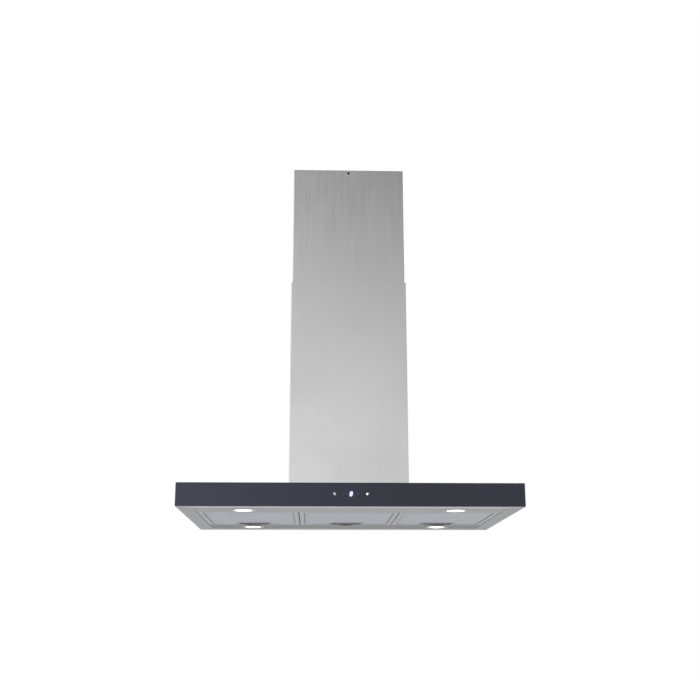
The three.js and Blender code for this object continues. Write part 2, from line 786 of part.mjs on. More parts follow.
// A channel frame round the mesh, two tabs in front, and a pressed tray for the latch behind.
function makeFilterFrame(where, x) {
  const sheet = filterSheet;
  const inner = filterWidth - 2 * filterBorder;
  const innerDepth = filterDepth - 2 * filterBorder;
  let frame = centredBox(filterWidth, filterDepth, filterRise, filterTop)
    .subtract(centredBox(filterWidth - 2 * sheet, filterDepth - 2 * sheet,
      filterRise + sheet, filterTop - sheet))
    .subtract(centredBox(inner, innerDepth, filterRise - 1, filterTop + 1))
    .add(box(-trayWidth / 2, trayFront, filterRise, trayWidth / 2, trayBack, filterTop))
    .subtract(box(-trayWidth / 2 + traySheet, trayFront + traySheet, filterRise - 1,
      trayWidth / 2 - traySheet, trayBack - traySheet, trayCeiling));
  for (const side of [-1, 1]) {
    const tab = filterRise + canopySheet + tabLift;
    frame = frame.add(box(side * tabSpread - tabWidth / 2, -filterBack - tabReach, tab,
      side * tabSpread + tabWidth / 2, -filterBack + sheet, tab + tabSheet));
  }
  frame = frame.subtract(box(-tongueWidth / 2 - 0.5, trayBack - 2 * traySheet, latchUnder - 0.3,
    tongueWidth / 2 + 0.5, filterBack + 1, latchUnder + tongueSheet + 0.3));
  piece(`filter_frame_${where}`, frame.translate([x, 0, 0]), aluminium, hood);
}

function makeFilterMesh(where, x) {
  const slip = 2 * (filterSheet + touch);
  const bottom = filterRise + filterSheet + touch;
  const mesh = centredBox(filterWidth - slip, filterDepth - slip, bottom, bottom + meshThickness)
    .subtract(box(-trayWidth / 2 - touch, trayFront - touch, filterRise - 1,
      trayWidth / 2 + touch, filterDepth, filterTop + 1));
  piece(`filter_mesh_${where}`, mesh.translate([x, 0, 0]), aluminium, hood);
}

// A sliding plate with a pull that bulges below it, a tongue behind and a spring seat in front.
function makeLatch(where, x) {
  const half = latchWidth / 2;
  const steps = 10;
  const shallow = filterRise - latchBladeEndDrop;
  const outline = [[-half, latchTop], [half, latchTop], [half, shallow]];
  for (let i = 0; i <= steps; i++) {
    const across = 1 - (2 * i) / steps;
    const bulge = (latchBladeDrop - latchBladeEndDrop) * (1 - across * across);
    outline.push([(across * latchBulgeWidth) / 2, shallow - bulge]);
  }
  outline.push([-half, shallow]);
  const tongueEnd = openingDepth / 2 - tongueClearance;
  const bladeFront = latchFront + latchBladeLead;
  const plateBack = latchFront + latchPlateDepth;
  const seat = springSeatWidth / 2;
  const tongue = tongueWidth / 2;
  const latch = slab(outline, bladeFront, bladeFront + latchBladeSheet)
    .add(box(-half, latchFront, latchUnder, half, plateBack, latchTop))
    .add(box(-seat, latchFront, latchUnder - springSeatDrop, seat, latchFront + springSeatSheet, latchTop))
    .add(box(-tongue, plateBack - 1, latchUnder, tongue, tongueEnd, latchUnder + tongueSheet));
  piece(`filter_latch_${where}`, latch.translate([x, 0, 0]), blackPlastic, hood);
}

// The spring pushes the latch back, from the tray's front wall.
function makeLatchSpring(where, x) {
  const start = trayFront + traySheet + springWire + touch;
  const end = latchFront - springWire - touch;
  const height = latchTop - springRadius - springWire - touch;
  const points = [];
  const perTurn = 8;
  for (let i = 0; i <= springTurns * perTurn; i++) {
    const angle = (2 * Math.PI * i) / perTurn;
    points.push(new THREE.Vector3(x + springRadius * Math.cos(angle),
      start + ((end - start) * i) / (springTurns * perTurn),
      height + springRadius * Math.sin(angle)));
  }
  piece(`latch_spring_${where}`,
    drawn(new THREE.CatmullRomCurve3(points), springWire, 4, springTurns * perTurn), springSteel, hood);
}

function makeFilters() {
  const places = ["left", "centre", "right"];
  places.forEach((where, i) => {
    const x = (i - (filterCount - 1) / 2) * filterPitch;
    makeFilterFrame(where, x);
    makeFilterMesh(where, x);
    makeLatch(where, x);
    makeLatchSpring(where, x);
  });
}

// ---------------------------------------------------------------- assembly

const glandX = -boxWidth / 2 + glandInset;
const glandY = -boxDepth / 2 + glandInset;
makeCeilingPlate();
makeUpperFrame();
makeLowerFrame();
makeUpperCover();
makeLowerCover();
makeCanopyShell();
makeFrontGlass();
makeLampPanels();
makeLamps();
const boardBack = makeControls();
makeBaseFrame();
makeBlowerBox(glandX, glandY);
makeScroll();
makeMotor();
makeImpeller();
makeCollar();
makeFlaps();
makeWiring(glandX, glandY, boardBack);
makeFilters();

export default rangeHood;
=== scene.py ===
"""The looks of an island range hood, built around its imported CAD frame.

Metres, +Z up, the glass front towards -Y, the origin at the middle of the ceiling plane.
"""

import math
import random

import bmesh
import bpy
from mathutils import Matrix, Vector


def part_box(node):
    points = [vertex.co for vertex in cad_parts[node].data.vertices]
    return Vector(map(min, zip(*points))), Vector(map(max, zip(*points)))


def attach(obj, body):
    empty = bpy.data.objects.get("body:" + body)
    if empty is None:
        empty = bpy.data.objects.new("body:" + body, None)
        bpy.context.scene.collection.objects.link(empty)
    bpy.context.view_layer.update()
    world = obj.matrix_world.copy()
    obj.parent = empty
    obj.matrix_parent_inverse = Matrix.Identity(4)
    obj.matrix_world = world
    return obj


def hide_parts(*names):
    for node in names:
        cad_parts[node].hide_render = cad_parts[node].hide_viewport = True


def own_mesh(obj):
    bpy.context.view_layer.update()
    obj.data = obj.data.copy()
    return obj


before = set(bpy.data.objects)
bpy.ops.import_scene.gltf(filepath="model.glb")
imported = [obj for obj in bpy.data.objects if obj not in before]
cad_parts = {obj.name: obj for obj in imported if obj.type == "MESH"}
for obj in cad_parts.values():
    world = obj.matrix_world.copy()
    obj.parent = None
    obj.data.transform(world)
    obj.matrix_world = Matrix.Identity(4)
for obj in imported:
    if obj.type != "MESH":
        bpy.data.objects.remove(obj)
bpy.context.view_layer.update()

# ---- Studio ------------------------------------------------------------------------------------
# The hood hangs in a white room over a pale floor. The camera stands a little left of its middle
# and below it, and looks up, so that the glass and the underside both show.

canopy_low, canopy_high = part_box("canopy_shell")
canopy_bottom = canopy_low.z
hood_over_floor = 1.62

camera_place = (-0.0953, -3.0565, canopy_bottom - 0.310)
camera_pan, camera_tilt, camera_roll = math.radians(-1.948), math.radians(14.839), math.radians(0.106)

camera_data = bpy.data.cameras.new("studio_camera")
camera_data.sensor_width = 36
camera_data.lens = 54.68
camera_data.clip_end = 60
camera = bpy.data.objects.new("studio_camera", camera_data)
camera_turn = (
    Matrix.Rotation(camera_pan, 4, "Z")
    @ Matrix.Rotation(camera_tilt, 4, "X")
    @ Matrix.Rotation(camera_roll, 4, "Y")
    @ Matrix.Rotation(math.radians(90), 4, "X")
)
camera.matrix_world = Matrix.Translation(camera_place) @ camera_turn
bpy.context.scene.collection.objects.link(camera)
bpy.context.scene.camera = camera
bpy.context.scene.view_settings.view_transform = "Standard"


def fill_sockets(tree, node, sockets):
    """Sets or links a node's inputs."""
    for label, value in sockets.items():
        if isinstance(value, bpy.types.NodeSocket):
            tree.links.new(value, node.inputs[label])
        else:
            node.inputs[label].default_value = value


def add_node(tree, kind, sockets=None, **settings):
    """Adds a shader node. sockets maps an input to its value, or to the output that feeds it."""
    made = tree.nodes.new("ShaderNode" + kind)
    for setting, value in settings.items():
        setattr(made, setting, value)
    fill_sockets(tree, made, sockets or {})
    return made.outputs


def calculate(tree, operation, first, second=0.0):
    """Adds a Math node and returns its result."""
    return add_node(tree, "Math", {0: first, 1: second}, operation=operation)[0]


def multiply(tree, first, second):
    return calculate(tree, "MULTIPLY", first, second)


def ramp(tree, value, low, high, to_low=0.0, to_high=1.0):
    """Maps a value smoothly from one range to another, and holds it at both ends."""
    sockets = {0: value, 1: low, 2: high, 3: to_low, 4: to_high}
    return add_node(tree, "MapRange", sockets, interpolation_type="SMOOTHSTEP")[0]


def paint_room():
    """The room: white behind the hood, and a soft wall in front that dims upwards and to the right."""
    world = bpy.data.worlds.new("white_room")
    world.use_nodes = True
    bpy.context.scene.world = world
    tree = world.node_tree
    direction = add_node(tree, "TexCoord")["Generated"]
    x, y, z = add_node(tree, "SeparateXYZ", {"Vector": direction})
    sockets = {0: z, 1: 0.13, 2: 0.465, 3: 1.47, 4: 0.07}
    upwards = add_node(tree, "MapRange", sockets)[0]
    sideways = ramp(tree, x, -0.22, 0.11, 1.26, 0.72)
    wall = multiply(tree, upwards, sideways)
    in_front = ramp(tree, y, 0.25, -0.25)
    behind = calculate(tree, "SUBTRACT", 1.0, in_front)
    glow = calculate(tree, "ADD", multiply(tree, wall, in_front), behind)
    seen = add_node(tree, "LightPath")["Is Camera Ray"]
    strength = calculate(tree, "MAXIMUM", glow, seen)
    background = tree.nodes["Background"]
    background.inputs["Color"].default_value = (1, 1, 1, 1)
    tree.links.new(strength, background.inputs["Strength"])


def add_softbox(name, place, aim, width, power):
    """A wide square lamp that points at a spot."""
    lamp = bpy.data.lights.new(name, "AREA")
    lamp.size = width
    lamp.energy = power
    softbox = bpy.data.objects.new(name, lamp)
    look = Vector(aim) - Vector(place)
    softbox.rotation_euler = look.to_track_quat("-Z", "Y").to_euler()
    softbox.location = place
    bpy.context.scene.collection.objects.link(softbox)


def lay_floor():
    """A wide pale floor below the hood, lit so that it looks white to the camera."""
    size = 30
    height = canopy_bottom - hood_over_floor
    sheet = bpy.data.meshes.new("studio_floor")
    corners = [(-size, -size, height), (size, -size, height), (size, size, height), (-size, size, height)]
    sheet.from_pydata(corners, [], [(0, 1, 2, 3)])
    floor = bpy.data.objects.new("studio_floor", sheet)
    bpy.context.scene.collection.objects.link(floor)
    paint = bpy.data.materials.new("studio_floor")
    paint.use_nodes = True
    shader = paint.node_tree.nodes["Principled BSDF"]
    shader.inputs["Base Color"].default_value = (0.78, 0.78, 0.785, 1)
    shader.inputs["Roughness"].default_value = 0.9
    shader.inputs["Emission Color"].default_value = (1, 1, 1, 1)
    seen = add_node(paint.node_tree, "LightPath")["Is Camera Ray"]
    paint.node_tree.links.new(seen, shader.inputs["Emission Strength"])
    sheet.materials.append(paint)


paint_room()
lay_floor()
add_softbox("high_left_softbox", (-2.2, -2.4, 1.6), (0, 0, -0.7), 1.8, 30)
add_softbox("high_rear_softbox", (1.6, 2.6, 1.8), (0, 0, -0.8), 2.0, 40)

# ---- Chimney covers ----------------------------------------------------------------------------
# Two telescoping covers of 0.8 mm brushed stainless sheet, each folded to a square tube with tight
# corners and a lapped seam at the back. The upper one is held by a black screw in front and behind.

cover_fold = 0.0022
cover_sheet = 0.0008
fold_turns = 6


def shader_material(name, colour, metallic, roughness):
    """A material with one Principled shader. Returns the material, its node tree and the shader."""
    material = bpy.data.materials.new(name)
    material.use_nodes = True
    shader = material.node_tree.nodes["Principled BSDF"]
    shader.inputs["Base Color"].default_value = (*colour, 1)
    shader.inputs["Metallic"].default_value = metallic
    shader.inputs["Roughness"].default_value = roughness
    return material, material.node_tree, shader


def shader_group(name, inputs, outputs):
    """An empty node group. inputs maps a socket to its default, and outputs maps one to its type."""
    group = bpy.data.node_groups.new(name, "ShaderNodeTree")
    for label, default in inputs.items():
        kind = "NodeSocketFloat" if isinstance(default, float) else "NodeSocketVector"
        made = group.interface.new_socket(label, in_out="INPUT", socket_type=kind)
        made.default_value = default
    for label, kind in outputs.items():
        group.interface.new_socket(label, in_out="OUTPUT", socket_type=kind)
    start = group.nodes.new("NodeGroupInput").outputs
    end = group.nodes.new("NodeGroupOutput").inputs
    return group, start, end


def use_group(tree, group, sockets):
    """Places a node group with its inputs set or linked, and returns its outputs."""
    made = tree.nodes.new("ShaderNodeGroup")
    made.node_tree = group
    fill_sockets(tree, made, sockets)
    return made.outputs


def object_space(tree):
    """Each point's place in the object, and so in the frame."""
    return add_node(tree, "TexCoord")["Object"]


def noise(tree, place, scale, detail, roughness=0.5):
    """A noise mask."""
    sockets = {"Vector": place, "Scale": scale, "Detail": detail, "Roughness": roughness}
    return add_node(tree, "TexNoise", sockets)[0]


def make_sheet_grain():
    """Fine scratches along the direction with the smallest scale, and broad cloudy patches."""
    group, start, end = shader_group(
        "sheet_grain",
        {"Scratch Scale": (1.0, 1.0, 1.0), "Patch Scale": 6.0},
        {"Scratches": "NodeSocketFloat", "Patches": "NodeSocketFloat"},
    )
    place = object_space(group)
    stretched = add_node(group, "Mapping", {"Vector": place, "Scale": start["Scratch Scale"]})[0]
    group.links.new(noise(group, stretched, 1.0, 3.0, 0.65), end["Scratches"])
    group.links.new(noise(group, place, start["Patch Scale"], 2.0), end["Patches"])
    return group


def make_edge_wear_and_highlight():
    """A mask that is white on convex edges, where hands and cloths polish the metal and where a painted
    highlight lightens them.
    """
    group, start, end = shader_group(
        "edge_wear_and_highlight", {"Width": 0.0012, "Breakup": 90.0}, {"Mask": "NodeSocketFloat"}
    )
    rounded = add_node(group, "Bevel", {"Radius": start["Width"]}, samples=4)[0]
    flat = add_node(group, "NewGeometry")["Normal"]
    facing = add_node(group, "VectorMath", {0: rounded, 1: flat}, operation="DOT_PRODUCT")["Value"]
    edge = ramp(group, facing, 0.995, 0.90)
    broken = noise(group, object_space(group), start["Breakup"], 3.0)
    group.links.new(multiply(group, edge, ramp(group, broken, 0.30, 0.62)), end["Mask"])
    return group


def make_settled_dust():
    """A mask for the thin dust that settles on faces that look up."""
    group, start, end = shader_group(
        "settled_dust", {"Amount": 0.3, "Patch Scale": 14.0}, {"Mask": "NodeSocketFloat"}
    )
    normal = add_node(group, "NewGeometry")["Normal"]
    upright = add_node(group, "SeparateXYZ", {"Vector": normal})["Z"]
    patches = noise(group, object_space(group), start["Patch Scale"], 5.0)
    lying = multiply(group, ramp(group, upright, 0.6, 0.95), ramp(group, patches, 0.3, 0.8))
    group.links.new(multiply(group, lying, start["Amount"]), end["Mask"])
    return group


sheet_grain = make_sheet_grain()
edge_wear_and_highlight = make_edge_wear_and_highlight()
settled_dust = make_settled_dust()


def blend_colours(tree, factor, first, second):
    """Mixes two colours by a factor. A colour is an output or its red, green and blue."""
    sockets = {"Fac": factor}
    for label, colour in (("Color1", first), ("Color2", second)):
        sockets[label] = (*colour, 1) if isinstance(colour, tuple) else colour
    return add_node(tree, "MixRGB", sockets)[0]


def spread(tree, mask, dark, light):
    """Turns a noise mask into a colour between two others."""
    return blend_colours(tree, ramp(tree, mask, 0.3, 0.7), dark, light)


def set_colour(tree, shader, colour):
    tree.links.new(colour, shader.inputs["Base Color"])


def set_roughness(tree, shader, mask, low, high):
    """Varies the roughness between two values with a noise mask."""
    tree.links.new(ramp(tree, mask, 0.3, 0.7, low, high), shader.inputs["Roughness"])


def set_bump(tree, shader, height, strength, distance):
    sockets = {"Height": height, "Strength": strength, "Distance": distance}
    tree.links.new(add_node(tree, "Bump", sockets)[0], shader.inputs["Normal"])


def grain(tree, scratch_scale, patch_scale):
    """The scratches and the patches of a sheet's grain."""
    made = use_group(tree, sheet_grain, {"Scratch Scale": scratch_scale, "Patch Scale": patch_scale})
    return made["Scratches"], made["Patches"]


def wear_and_highlight_on_edges(tree, colour, share, bare, sockets):
    """A colour that is worn towards a barer one on the convex edges, which also paints a highlight there.
    """
    edge = use_group(tree, edge_wear_and_highlight, sockets)["Mask"]
    return blend_colours(tree, multiply(tree, edge, share), colour, bare)


def brushed_steel(name, scratch_scale, dark, light, roughness, seam=None):
    """Brushed stainless steel. seam gives the half width and the half depth of a mitred border."""
    material, tree, shader = shader_material(name, light, 1.0, roughness)
    scratches, patches = grain(tree, scratch_scale, 5.0)
    if seam:
        turned, _ = grain(tree, (scratch_scale[1], scratch_scale[0], scratch_scale[2]), 5.0)
        corner = use_group(tree, mitred_border, {"Half Width": seam[0], "Half Depth": seam[1]})
        scratches = add_node(tree, "Mix", {0: corner["On Side"], 2: scratches, 3: turned})[0]
    tone = blend_colours(tree, ramp(tree, scratches, 0.30, 0.72), dark, light)
    cloudy = ramp(tree, patches, 0.3, 0.7, 0.0, 0.10)
    patchy = blend_colours(tree, cloudy, tone, (0.40, 0.40, 0.41))
    # Polish and painted highlight: the convex edges are painted lighter.
    polish_and_highlight = wear_and_highlight_on_edges(tree, patchy, 0.35, (0.80, 0.80, 0.81), {"Width": 0.0010})
    dust = use_group(tree, settled_dust, {"Amount": 0.15})["Mask"]
    surface = blend_colours(tree, dust, polish_and_highlight, (0.52, 0.51, 0.49))
    if seam:
        # Painted shade: the border's side strips are painted darker than the rest of the sheet.
        painted_side_shade = multiply(tree, corner["On Side"], 0.45)
        surface = blend_colours(tree, painted_side_shade, surface, (0.42, 0.435, 0.46))
        # Painted highlight: the border's front strip is painted lighter.
        painted_front_highlight = multiply(tree, corner["On Front"], 0.85)
        surface = blend_colours(tree, painted_front_highlight, surface, (0.82, 0.83, 0.85))
        surface = blend_colours(tree, corner["Seam"], surface, (0.16, 0.16, 0.17))
    set_colour(tree, shader, surface)
    gloss = ramp(tree, scratches, 0.3, 0.7, roughness - 0.05, roughness + 0.07)
    smudged = calculate(tree, "ADD", gloss, ramp(tree, patches, 0.45, 0.75, 0.0, 0.05))
    tree.links.new(calculate(tree, "ADD", smudged, dust), shader.inputs["Roughness"])
    set_bump(tree, shader, scratches, 0.12, 0.0001)
    shader.inputs["Anisotropic"].default_value = 0.4
    return material


def finish_piece(name, shape, body, material, stands_for=(), smooth=None):
    """Turns a bmesh into a piece on a body. smooth is the angle up to which it shades smooth."""
    mesh = bpy.data.meshes.new(name)
    shape.to_mesh(mesh)
    shape.free()
    mesh.materials.append(material)
    if smooth:
        mesh.polygons.foreach_set("use_smooth", [True] * len(mesh.polygons))
        mesh.set_sharp_from_angle(angle=math.radians(smooth))
    piece = bpy.data.objects.new(name, mesh)
    bpy.context.scene.collection.objects.link(piece)
    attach(piece, body)
    if stands_for:
        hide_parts(*stands_for)
    return piece


def rounded_outline(width, depth, radius, turns):
    """Points round a rectangle with rounded corners, centred on X and Y."""
    points = []
    for quarter, (side_x, side_y) in enumerate([(1, 1), (-1, 1), (-1, -1), (1, -1)]):
        centre_x = side_x * (width / 2 - radius)
        centre_y = side_y * (depth / 2 - radius)
        for step in range(turns + 1):
            angle = math.pi / 2 * (quarter + step / turns)
            points.append((centre_x + radius * math.cos(angle), centre_y + radius * math.sin(angle)))
    return points


def bridge(shape, rows):
    """Joins each closed row of vertices to the next one with faces."""
    count = len(rows[0])
    for row, after in zip(rows, rows[1:]):
        for k in range(count):
            n = (k + 1) % count
            shape.faces.new((row[k], row[n], after[n], after[k]))


def cap_ends(shape, rows):
    """Closes the first and the last row of a bridged body."""
    shape.faces.new(list(reversed(rows[0])))
    shape.faces.new(rows[-1])


def sheet_ring(shape, centre, width, depth, radius, profile, turns=fold_turns):
    """Adds a closed ring. profile lists its section as pairs of inset from the outside and height."""
    rings = []
    for inset, height in profile:
        corner = max(radius - inset, 0.0002)
        outline = rounded_outline(width - 2 * inset, depth - 2 * inset, corner, turns)
        rings.append([shape.verts.new((centre[0] + x, centre[1] + y, height)) for x, y in outline])
    bridge(shape, rings + rings[:1])


def wall_profile(bottom, top, sheet, edge):
    """The section of a plain upright wall of sheet with slightly broken edges."""
    return [
        (0, bottom + edge), (0, top - edge), (edge, top), (sheet - edge, top),
        (sheet, top - edge), (sheet, bottom + edge), (sheet - edge, bottom), (edge, bottom),
    ]


def break_edges(shape, edges, width, segments=1):
    """Rounds or bevels edges."""
    bmesh.ops.bevel(
        shape, geom=edges, offset=width, segments=segments, profile=0.5,
        affect="EDGES", clamp_overlap=True,
    )


def add_block(shape, low, high, edge=0.0, segments=1):
    """Adds a box between two corners, with all its edges broken by a small bevel."""
    size = Vector(high) - Vector(low)
    centre = (Vector(high) + Vector(low)) / 2
    made = bmesh.ops.create_cube(
        shape, size=1, matrix=Matrix.Translation(centre) @ Matrix.Diagonal((*size, 1))
    )
    if edge:
        edges = list({e for v in made["verts"] for e in v.link_edges})
        break_edges(shape, edges, edge, segments)


def fold_cover(node, body, name):
    """One cover: a folded tube, and the lap of its seam up the middle of the back."""
    low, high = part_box(node)
    shape = bmesh.new()
    sheet_ring(
        shape, (0, 0), high.x - low.x, high.y - low.y, cover_fold,
        wall_profile(low.z, high.z, cover_sheet, 0.0002),
    )
    finish_piece(name, shape, body, cover_steel, [node])
    seam = bmesh.new()
    add_block(
        seam, (-0.011, high.y - cover_sheet - 0.0009, low.z + 0.001),
        (0.011, high.y - cover_sheet - 0.0001, high.z - 0.001), 0.0002,
    )
    finish_piece(f"{name}_seam_strip", seam, body, cover_steel)


cover_steel = brushed_steel(
    "cover_steel", (1300, 1300, 5), (0.615, 0.615, 0.62), (0.665, 0.665, 0.67), 0.33
)
fold_cover("upper_cover", "ceiling_frame", "upper_cover_sheet")
fold_cover("lower_cover", "lower_cover", "lower_cover_sheet")


def cross_radius(angle, arm, half_width):
    """The distance from a cross recess's centre to its wall, in the direction of an angle."""
    turn = abs((angle + math.pi / 4) % (math.pi / 2) - math.pi / 4)
    if math.tan(turn) <= half_width / arm:
        return arm / math.cos(turn)
    return half_width / math.sin(turn)


def turned_row(shape, place, turn, reach, level, sides):
    """One row of vertices round an axis. reach gives the distance from it in each direction."""
    row = []
    for k in range(sides):
        angle = 2 * math.pi * k / sides
        distance = reach(angle)
        spot = Vector((distance * math.cos(angle), distance * math.sin(angle), level))
        row.append(shape.verts.new(Vector(place) + turn @ spot))
    return row


def screw_head(shape, place, out, radius, height, sides=32):
    """Adds a domed screw head with a cross recess. out is the direction in which it looks."""
    turn = Vector(out).to_track_quat("Z", "Y").to_matrix()
    arm = radius * 0.52
    recess = radius * 0.16
    depth = height * 0.55

    def ring(reach, level):
        return turned_row(shape, place, turn, reach, level, sides)

    rings = [ring(lambda angle: radius, 0.0), ring(lambda angle: radius, height * 0.25)]
    for share in (0.93, 0.80, 0.66):
        rise = height * (0.25 + 0.75 * math.sqrt(1 - share * share))
        rings.append(ring(lambda angle, share=share: radius * share, rise))
    rings.append(ring(lambda angle: cross_radius(angle, arm, recess), height * 0.93))
    rings.append(ring(lambda angle: cross_radius(angle, arm, recess) * 0.86, height * 0.93 - depth))
    bridge(shape, rings)
    cap_ends(shape, rings)


def black_oxide():
    """Blackened steel of the cover's screws."""
    black = (0.02, 0.02, 0.021)
    material, tree, shader = shader_material("black_oxide_steel", black, 0.6, 0.35)
    edge = use_group(tree, edge_wear_and_highlight, {"Width": 0.0004, "Breakup": 400.0})["Mask"]
    set_colour(tree, shader, blend_colours(tree, edge, black, (0.20, 0.20, 0.20)))
    return material


upper_low, upper_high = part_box("upper_cover")
cover_screw_height = -0.0105
cover_screws = bmesh.new()
for side in (-1, 1):
    face = upper_low.y if side < 0 else upper_high.y
    screw_head(cover_screws, (0, face, cover_screw_height), (0, side, 0), 0.0036, 0.0016)
finish_piece("cover_screws", cover_screws, "ceiling_frame", black_oxide(), smooth=40)

# ---- Canopy ------------------------------------------------------------------------------------
# A shallow box folded from 1 mm brushed stainless sheet. The border of its underside is mitred at
# the corners, welded and ground, so the grain turns there and only a hairline shows.

border_inner_x = 0.409
border_inner_y = 0.284


def make_mitred_border():
    """Masks of a border's side strips, its front strip and the hairline of its four mitred corners."""
    group, start, end = shader_group(
        "mitred_border",
        {"Half Width": border_inner_x, "Half Depth": border_inner_y},
        {"On Side": "NodeSocketFloat", "On Front": "NodeSocketFloat", "Seam": "NodeSocketFloat"},
    )
    place = object_space(group)
    x, y, z = add_node(group, "SeparateXYZ", {"Vector": place})
    past_x = calculate(group, "SUBTRACT", calculate(group, "ABSOLUTE", x), start["Half Width"])
    past_y = calculate(group, "SUBTRACT", calculate(group, "ABSOLUTE", y), start["Half Depth"])
    lead = calculate(group, "SUBTRACT", past_x, past_y)
    low = calculate(group, "LESS_THAN", z, canopy_bottom + 0.0015)
    wall = calculate(group, "GREATER_THAN", calculate(group, "ABSOLUTE", x), canopy_high.x - 0.002)
    side = calculate(group, "GREATER_THAN", lead, 0.0)
    on_side = multiply(group, side, calculate(group, "MAXIMUM", low, wall))
    group.links.new(on_side, end["On Side"])
    line = calculate(group, "LESS_THAN", calculate(group, "ABSOLUTE", lead), 0.00022)
    in_corner = calculate(group, "GREATER_THAN", calculate(group, "MINIMUM", past_x, past_y), 0.0)
    before = calculate(group, "GREATER_THAN", multiply(group, y, -1.0), start["Half Depth"])
    front_strip = multiply(group, before, calculate(group, "SUBTRACT", 1.0, on_side))
    group.links.new(multiply(group, front_strip, low), end["On Front"])
    seam = multiply(group, multiply(group, line, in_corner), low)
    group.links.new(seam, end["Seam"])
    return group


mitred_border = make_mitred_border()
canopy_steel = brushed_steel(
    "canopy_steel", (7, 1100, 1100), (0.59, 0.60, 0.615), (0.67, 0.68, 0.695), 0.31,
    seam=(border_inner_x, border_inner_y),
)


def on_sides(vertex, low, high):
    """The sides of a box that a vertex lies on."""
    found = set()
    for axis in range(3):
        if abs(vertex.co[axis] - low[axis]) < 1e-5:
            found.add((axis, 0))
        if abs(vertex.co[axis] - high[axis]) < 1e-5:
            found.add((axis, 1))
    return found


def softened(node, edge=0.0002, fold=0.0, segments=1):
    """A copy of a CAD node's mesh with broken edges, and rounder ones where its outer sides meet."""
    shape = bmesh.new()
    shape.from_mesh(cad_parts[node].data)
    bmesh.ops.remove_doubles(shape, verts=shape.verts, dist=1e-6)
    bmesh.ops.dissolve_limit(shape, angle_limit=math.radians(0.5), verts=shape.verts, edges=shape.edges)
    if fold:
        low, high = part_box(node)
        outer = [
            e for e in shape.edges
            if len(on_sides(e.verts[0], low, high) & on_sides(e.verts[1], low, high)) > 1
        ]
        break_edges(shape, outer, fold, fold_turns)
    sharp = [e for e in shape.edges if len(e.link_faces) == 2 and e.calc_face_angle(0) > math.radians(40)]
    break_edges(shape, sharp, edge, segments)
    return shape


finish_piece(
    "canopy_sheet", softened("canopy_shell", 0.0002, 0.0012), "hood",
    canopy_steel, ["canopy_shell"],
)

# ---- Front glass and controls ------------------------------------------------------------------
# A strip of 6 mm toughened glass, painted dark slate on its back, with ground and polished edges.
# A digit and four symbols shine through it from the touch board.

glass_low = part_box("front_glass")[0]
display_low, display_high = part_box("display_module")
symbol_height = (display_low.z + display_high.z) / 2


def slate_glass():
    """Dark back-painted glass, with a blue glow round the lit digit."""
    material, tree, shader = shader_material("slate_glass", (0.0105, 0.013, 0.0205), 0.0, 0.06)
    shader.inputs["IOR"].default_value = 1.50
    shader.inputs["Specular Tint"].default_value = (0.80, 0.84, 1.0, 1)
    place = object_space(tree)
    streaks = noise(tree, place, 7.0, 4.0)
    tone = spread(tree, streaks, (0.0095, 0.012, 0.019), (0.0115, 0.014, 0.022))
    ground = {"Width": 0.0012, "Breakup": 60.0}
    set_colour(tree, shader, wear_and_highlight_on_edges(tree, tone, 1.0, (0.10, 0.12, 0.12), ground))
    tree.links.new(ramp(tree, streaks, 0.35, 0.75, 0.05, 0.10), shader.inputs["Roughness"])
    digit = (0, glass_low.y, symbol_height)
    away = add_node(tree, "VectorMath", {0: place, 1: digit}, operation="DISTANCE")["Value"]
    glow = blend_colours(tree, ramp(tree, away, 0.013, 0.003), (0, 0, 0), (0.020, 0.024, 0.13))
    tree.links.new(glow, shader.inputs["Emission Color"])
    shader.inputs["Emission Strength"].default_value = 1.0
    return material


finish_piece(
    "front_glass_pane", softened("front_glass", 0.0007, 0.0, 2), "hood",
    slate_glass(), ["front_glass"],
)


def lit(name, colour, strength):
    """A lit mark behind the glass."""
    material, _, shader = shader_material(name, (0.02, 0.02, 0.02), 0.0, 0.3)
    shader.inputs["Emission Color"].default_value = (*colour, 1)
    shader.inputs["Emission Strength"].default_value = strength
    return material


def add_stroke(shape, start, end, width, lean=0.0):
    """Adds a flat bar with pointed ends on the glass, between two points in X and Z."""
    along = Vector(end) - Vector(start)
    step = along.normalized() * width / 2
    across = Vector((-step.y, step.x))
    start, end = Vector(start), Vector(end)
    outline = [
        start, start + step + across, end - step + across,
        end, end - step - across, start + step - across,
    ]
    layers = []
    for depth in (glass_low.y + 0.0001, glass_low.y - 0.00005):
        row = [shape.verts.new((p.x + lean * (p.y - symbol_height), depth, p.y)) for p in outline]
        layers.append(row)
    bridge(shape, layers)
    cap_ends(shape, layers)


def add_circle_strokes(shape, centre, radius, width, first, last, count):
    """Adds an arc of strokes round a centre, between two angles in degrees."""
    angles = [math.radians(first + (last - first) * k / count) for k in range(count + 1)]
    spots = [(centre[0] + radius * math.cos(a), centre[1] + radius * math.sin(a)) for a in angles]
    for start, end in zip(spots, spots[1:]):
        add_stroke(shape, start, end, width)


def light_the_digit():
    """The display's digit: all seven segments, leaning slightly to the right."""
    half_width, half_height, width = 0.0026, 0.0050, 0.0017
    z = symbol_height
    digit = bmesh.new()
    split, lean = 0.0003, 0.14
    for level in (-half_height, 0, half_height):
        add_stroke(digit, (split - half_width, z + level), (half_width - split, z + level), width, lean)
    for x in (-half_width, half_width):
        add_stroke(digit, (x, z - half_height + split), (x, z - split), width, lean)
        add_stroke(digit, (x, z + split), (x, z + half_height - split), width, lean)
    return digit


def place_mark(name, shape, light):
    """Puts a lit mark on the glass."""
    finish_piece(name, shape, "hood", light)


place_mark("display_digit", light_the_digit(), lit("digit_light", (0.72, 0.78, 1.0), 2.4))

key_reach = 0.0034
power_x, minus_x, plus_x, lamp_x = -0.0428, -0.0194, 0.0176, 0.0416
power_key = bmesh.new()
add_circle_strokes(power_key, (power_x, symbol_height), key_reach * 0.8, 0.0013, 120, 420, 14)
add_stroke(power_key, (power_x, symbol_height), (power_x, symbol_height + key_reach * 1.15), 0.0014)
place_mark("power_key_mark", power_key, lit("soft_key_light", (0.80, 0.84, 0.90), 1.5))

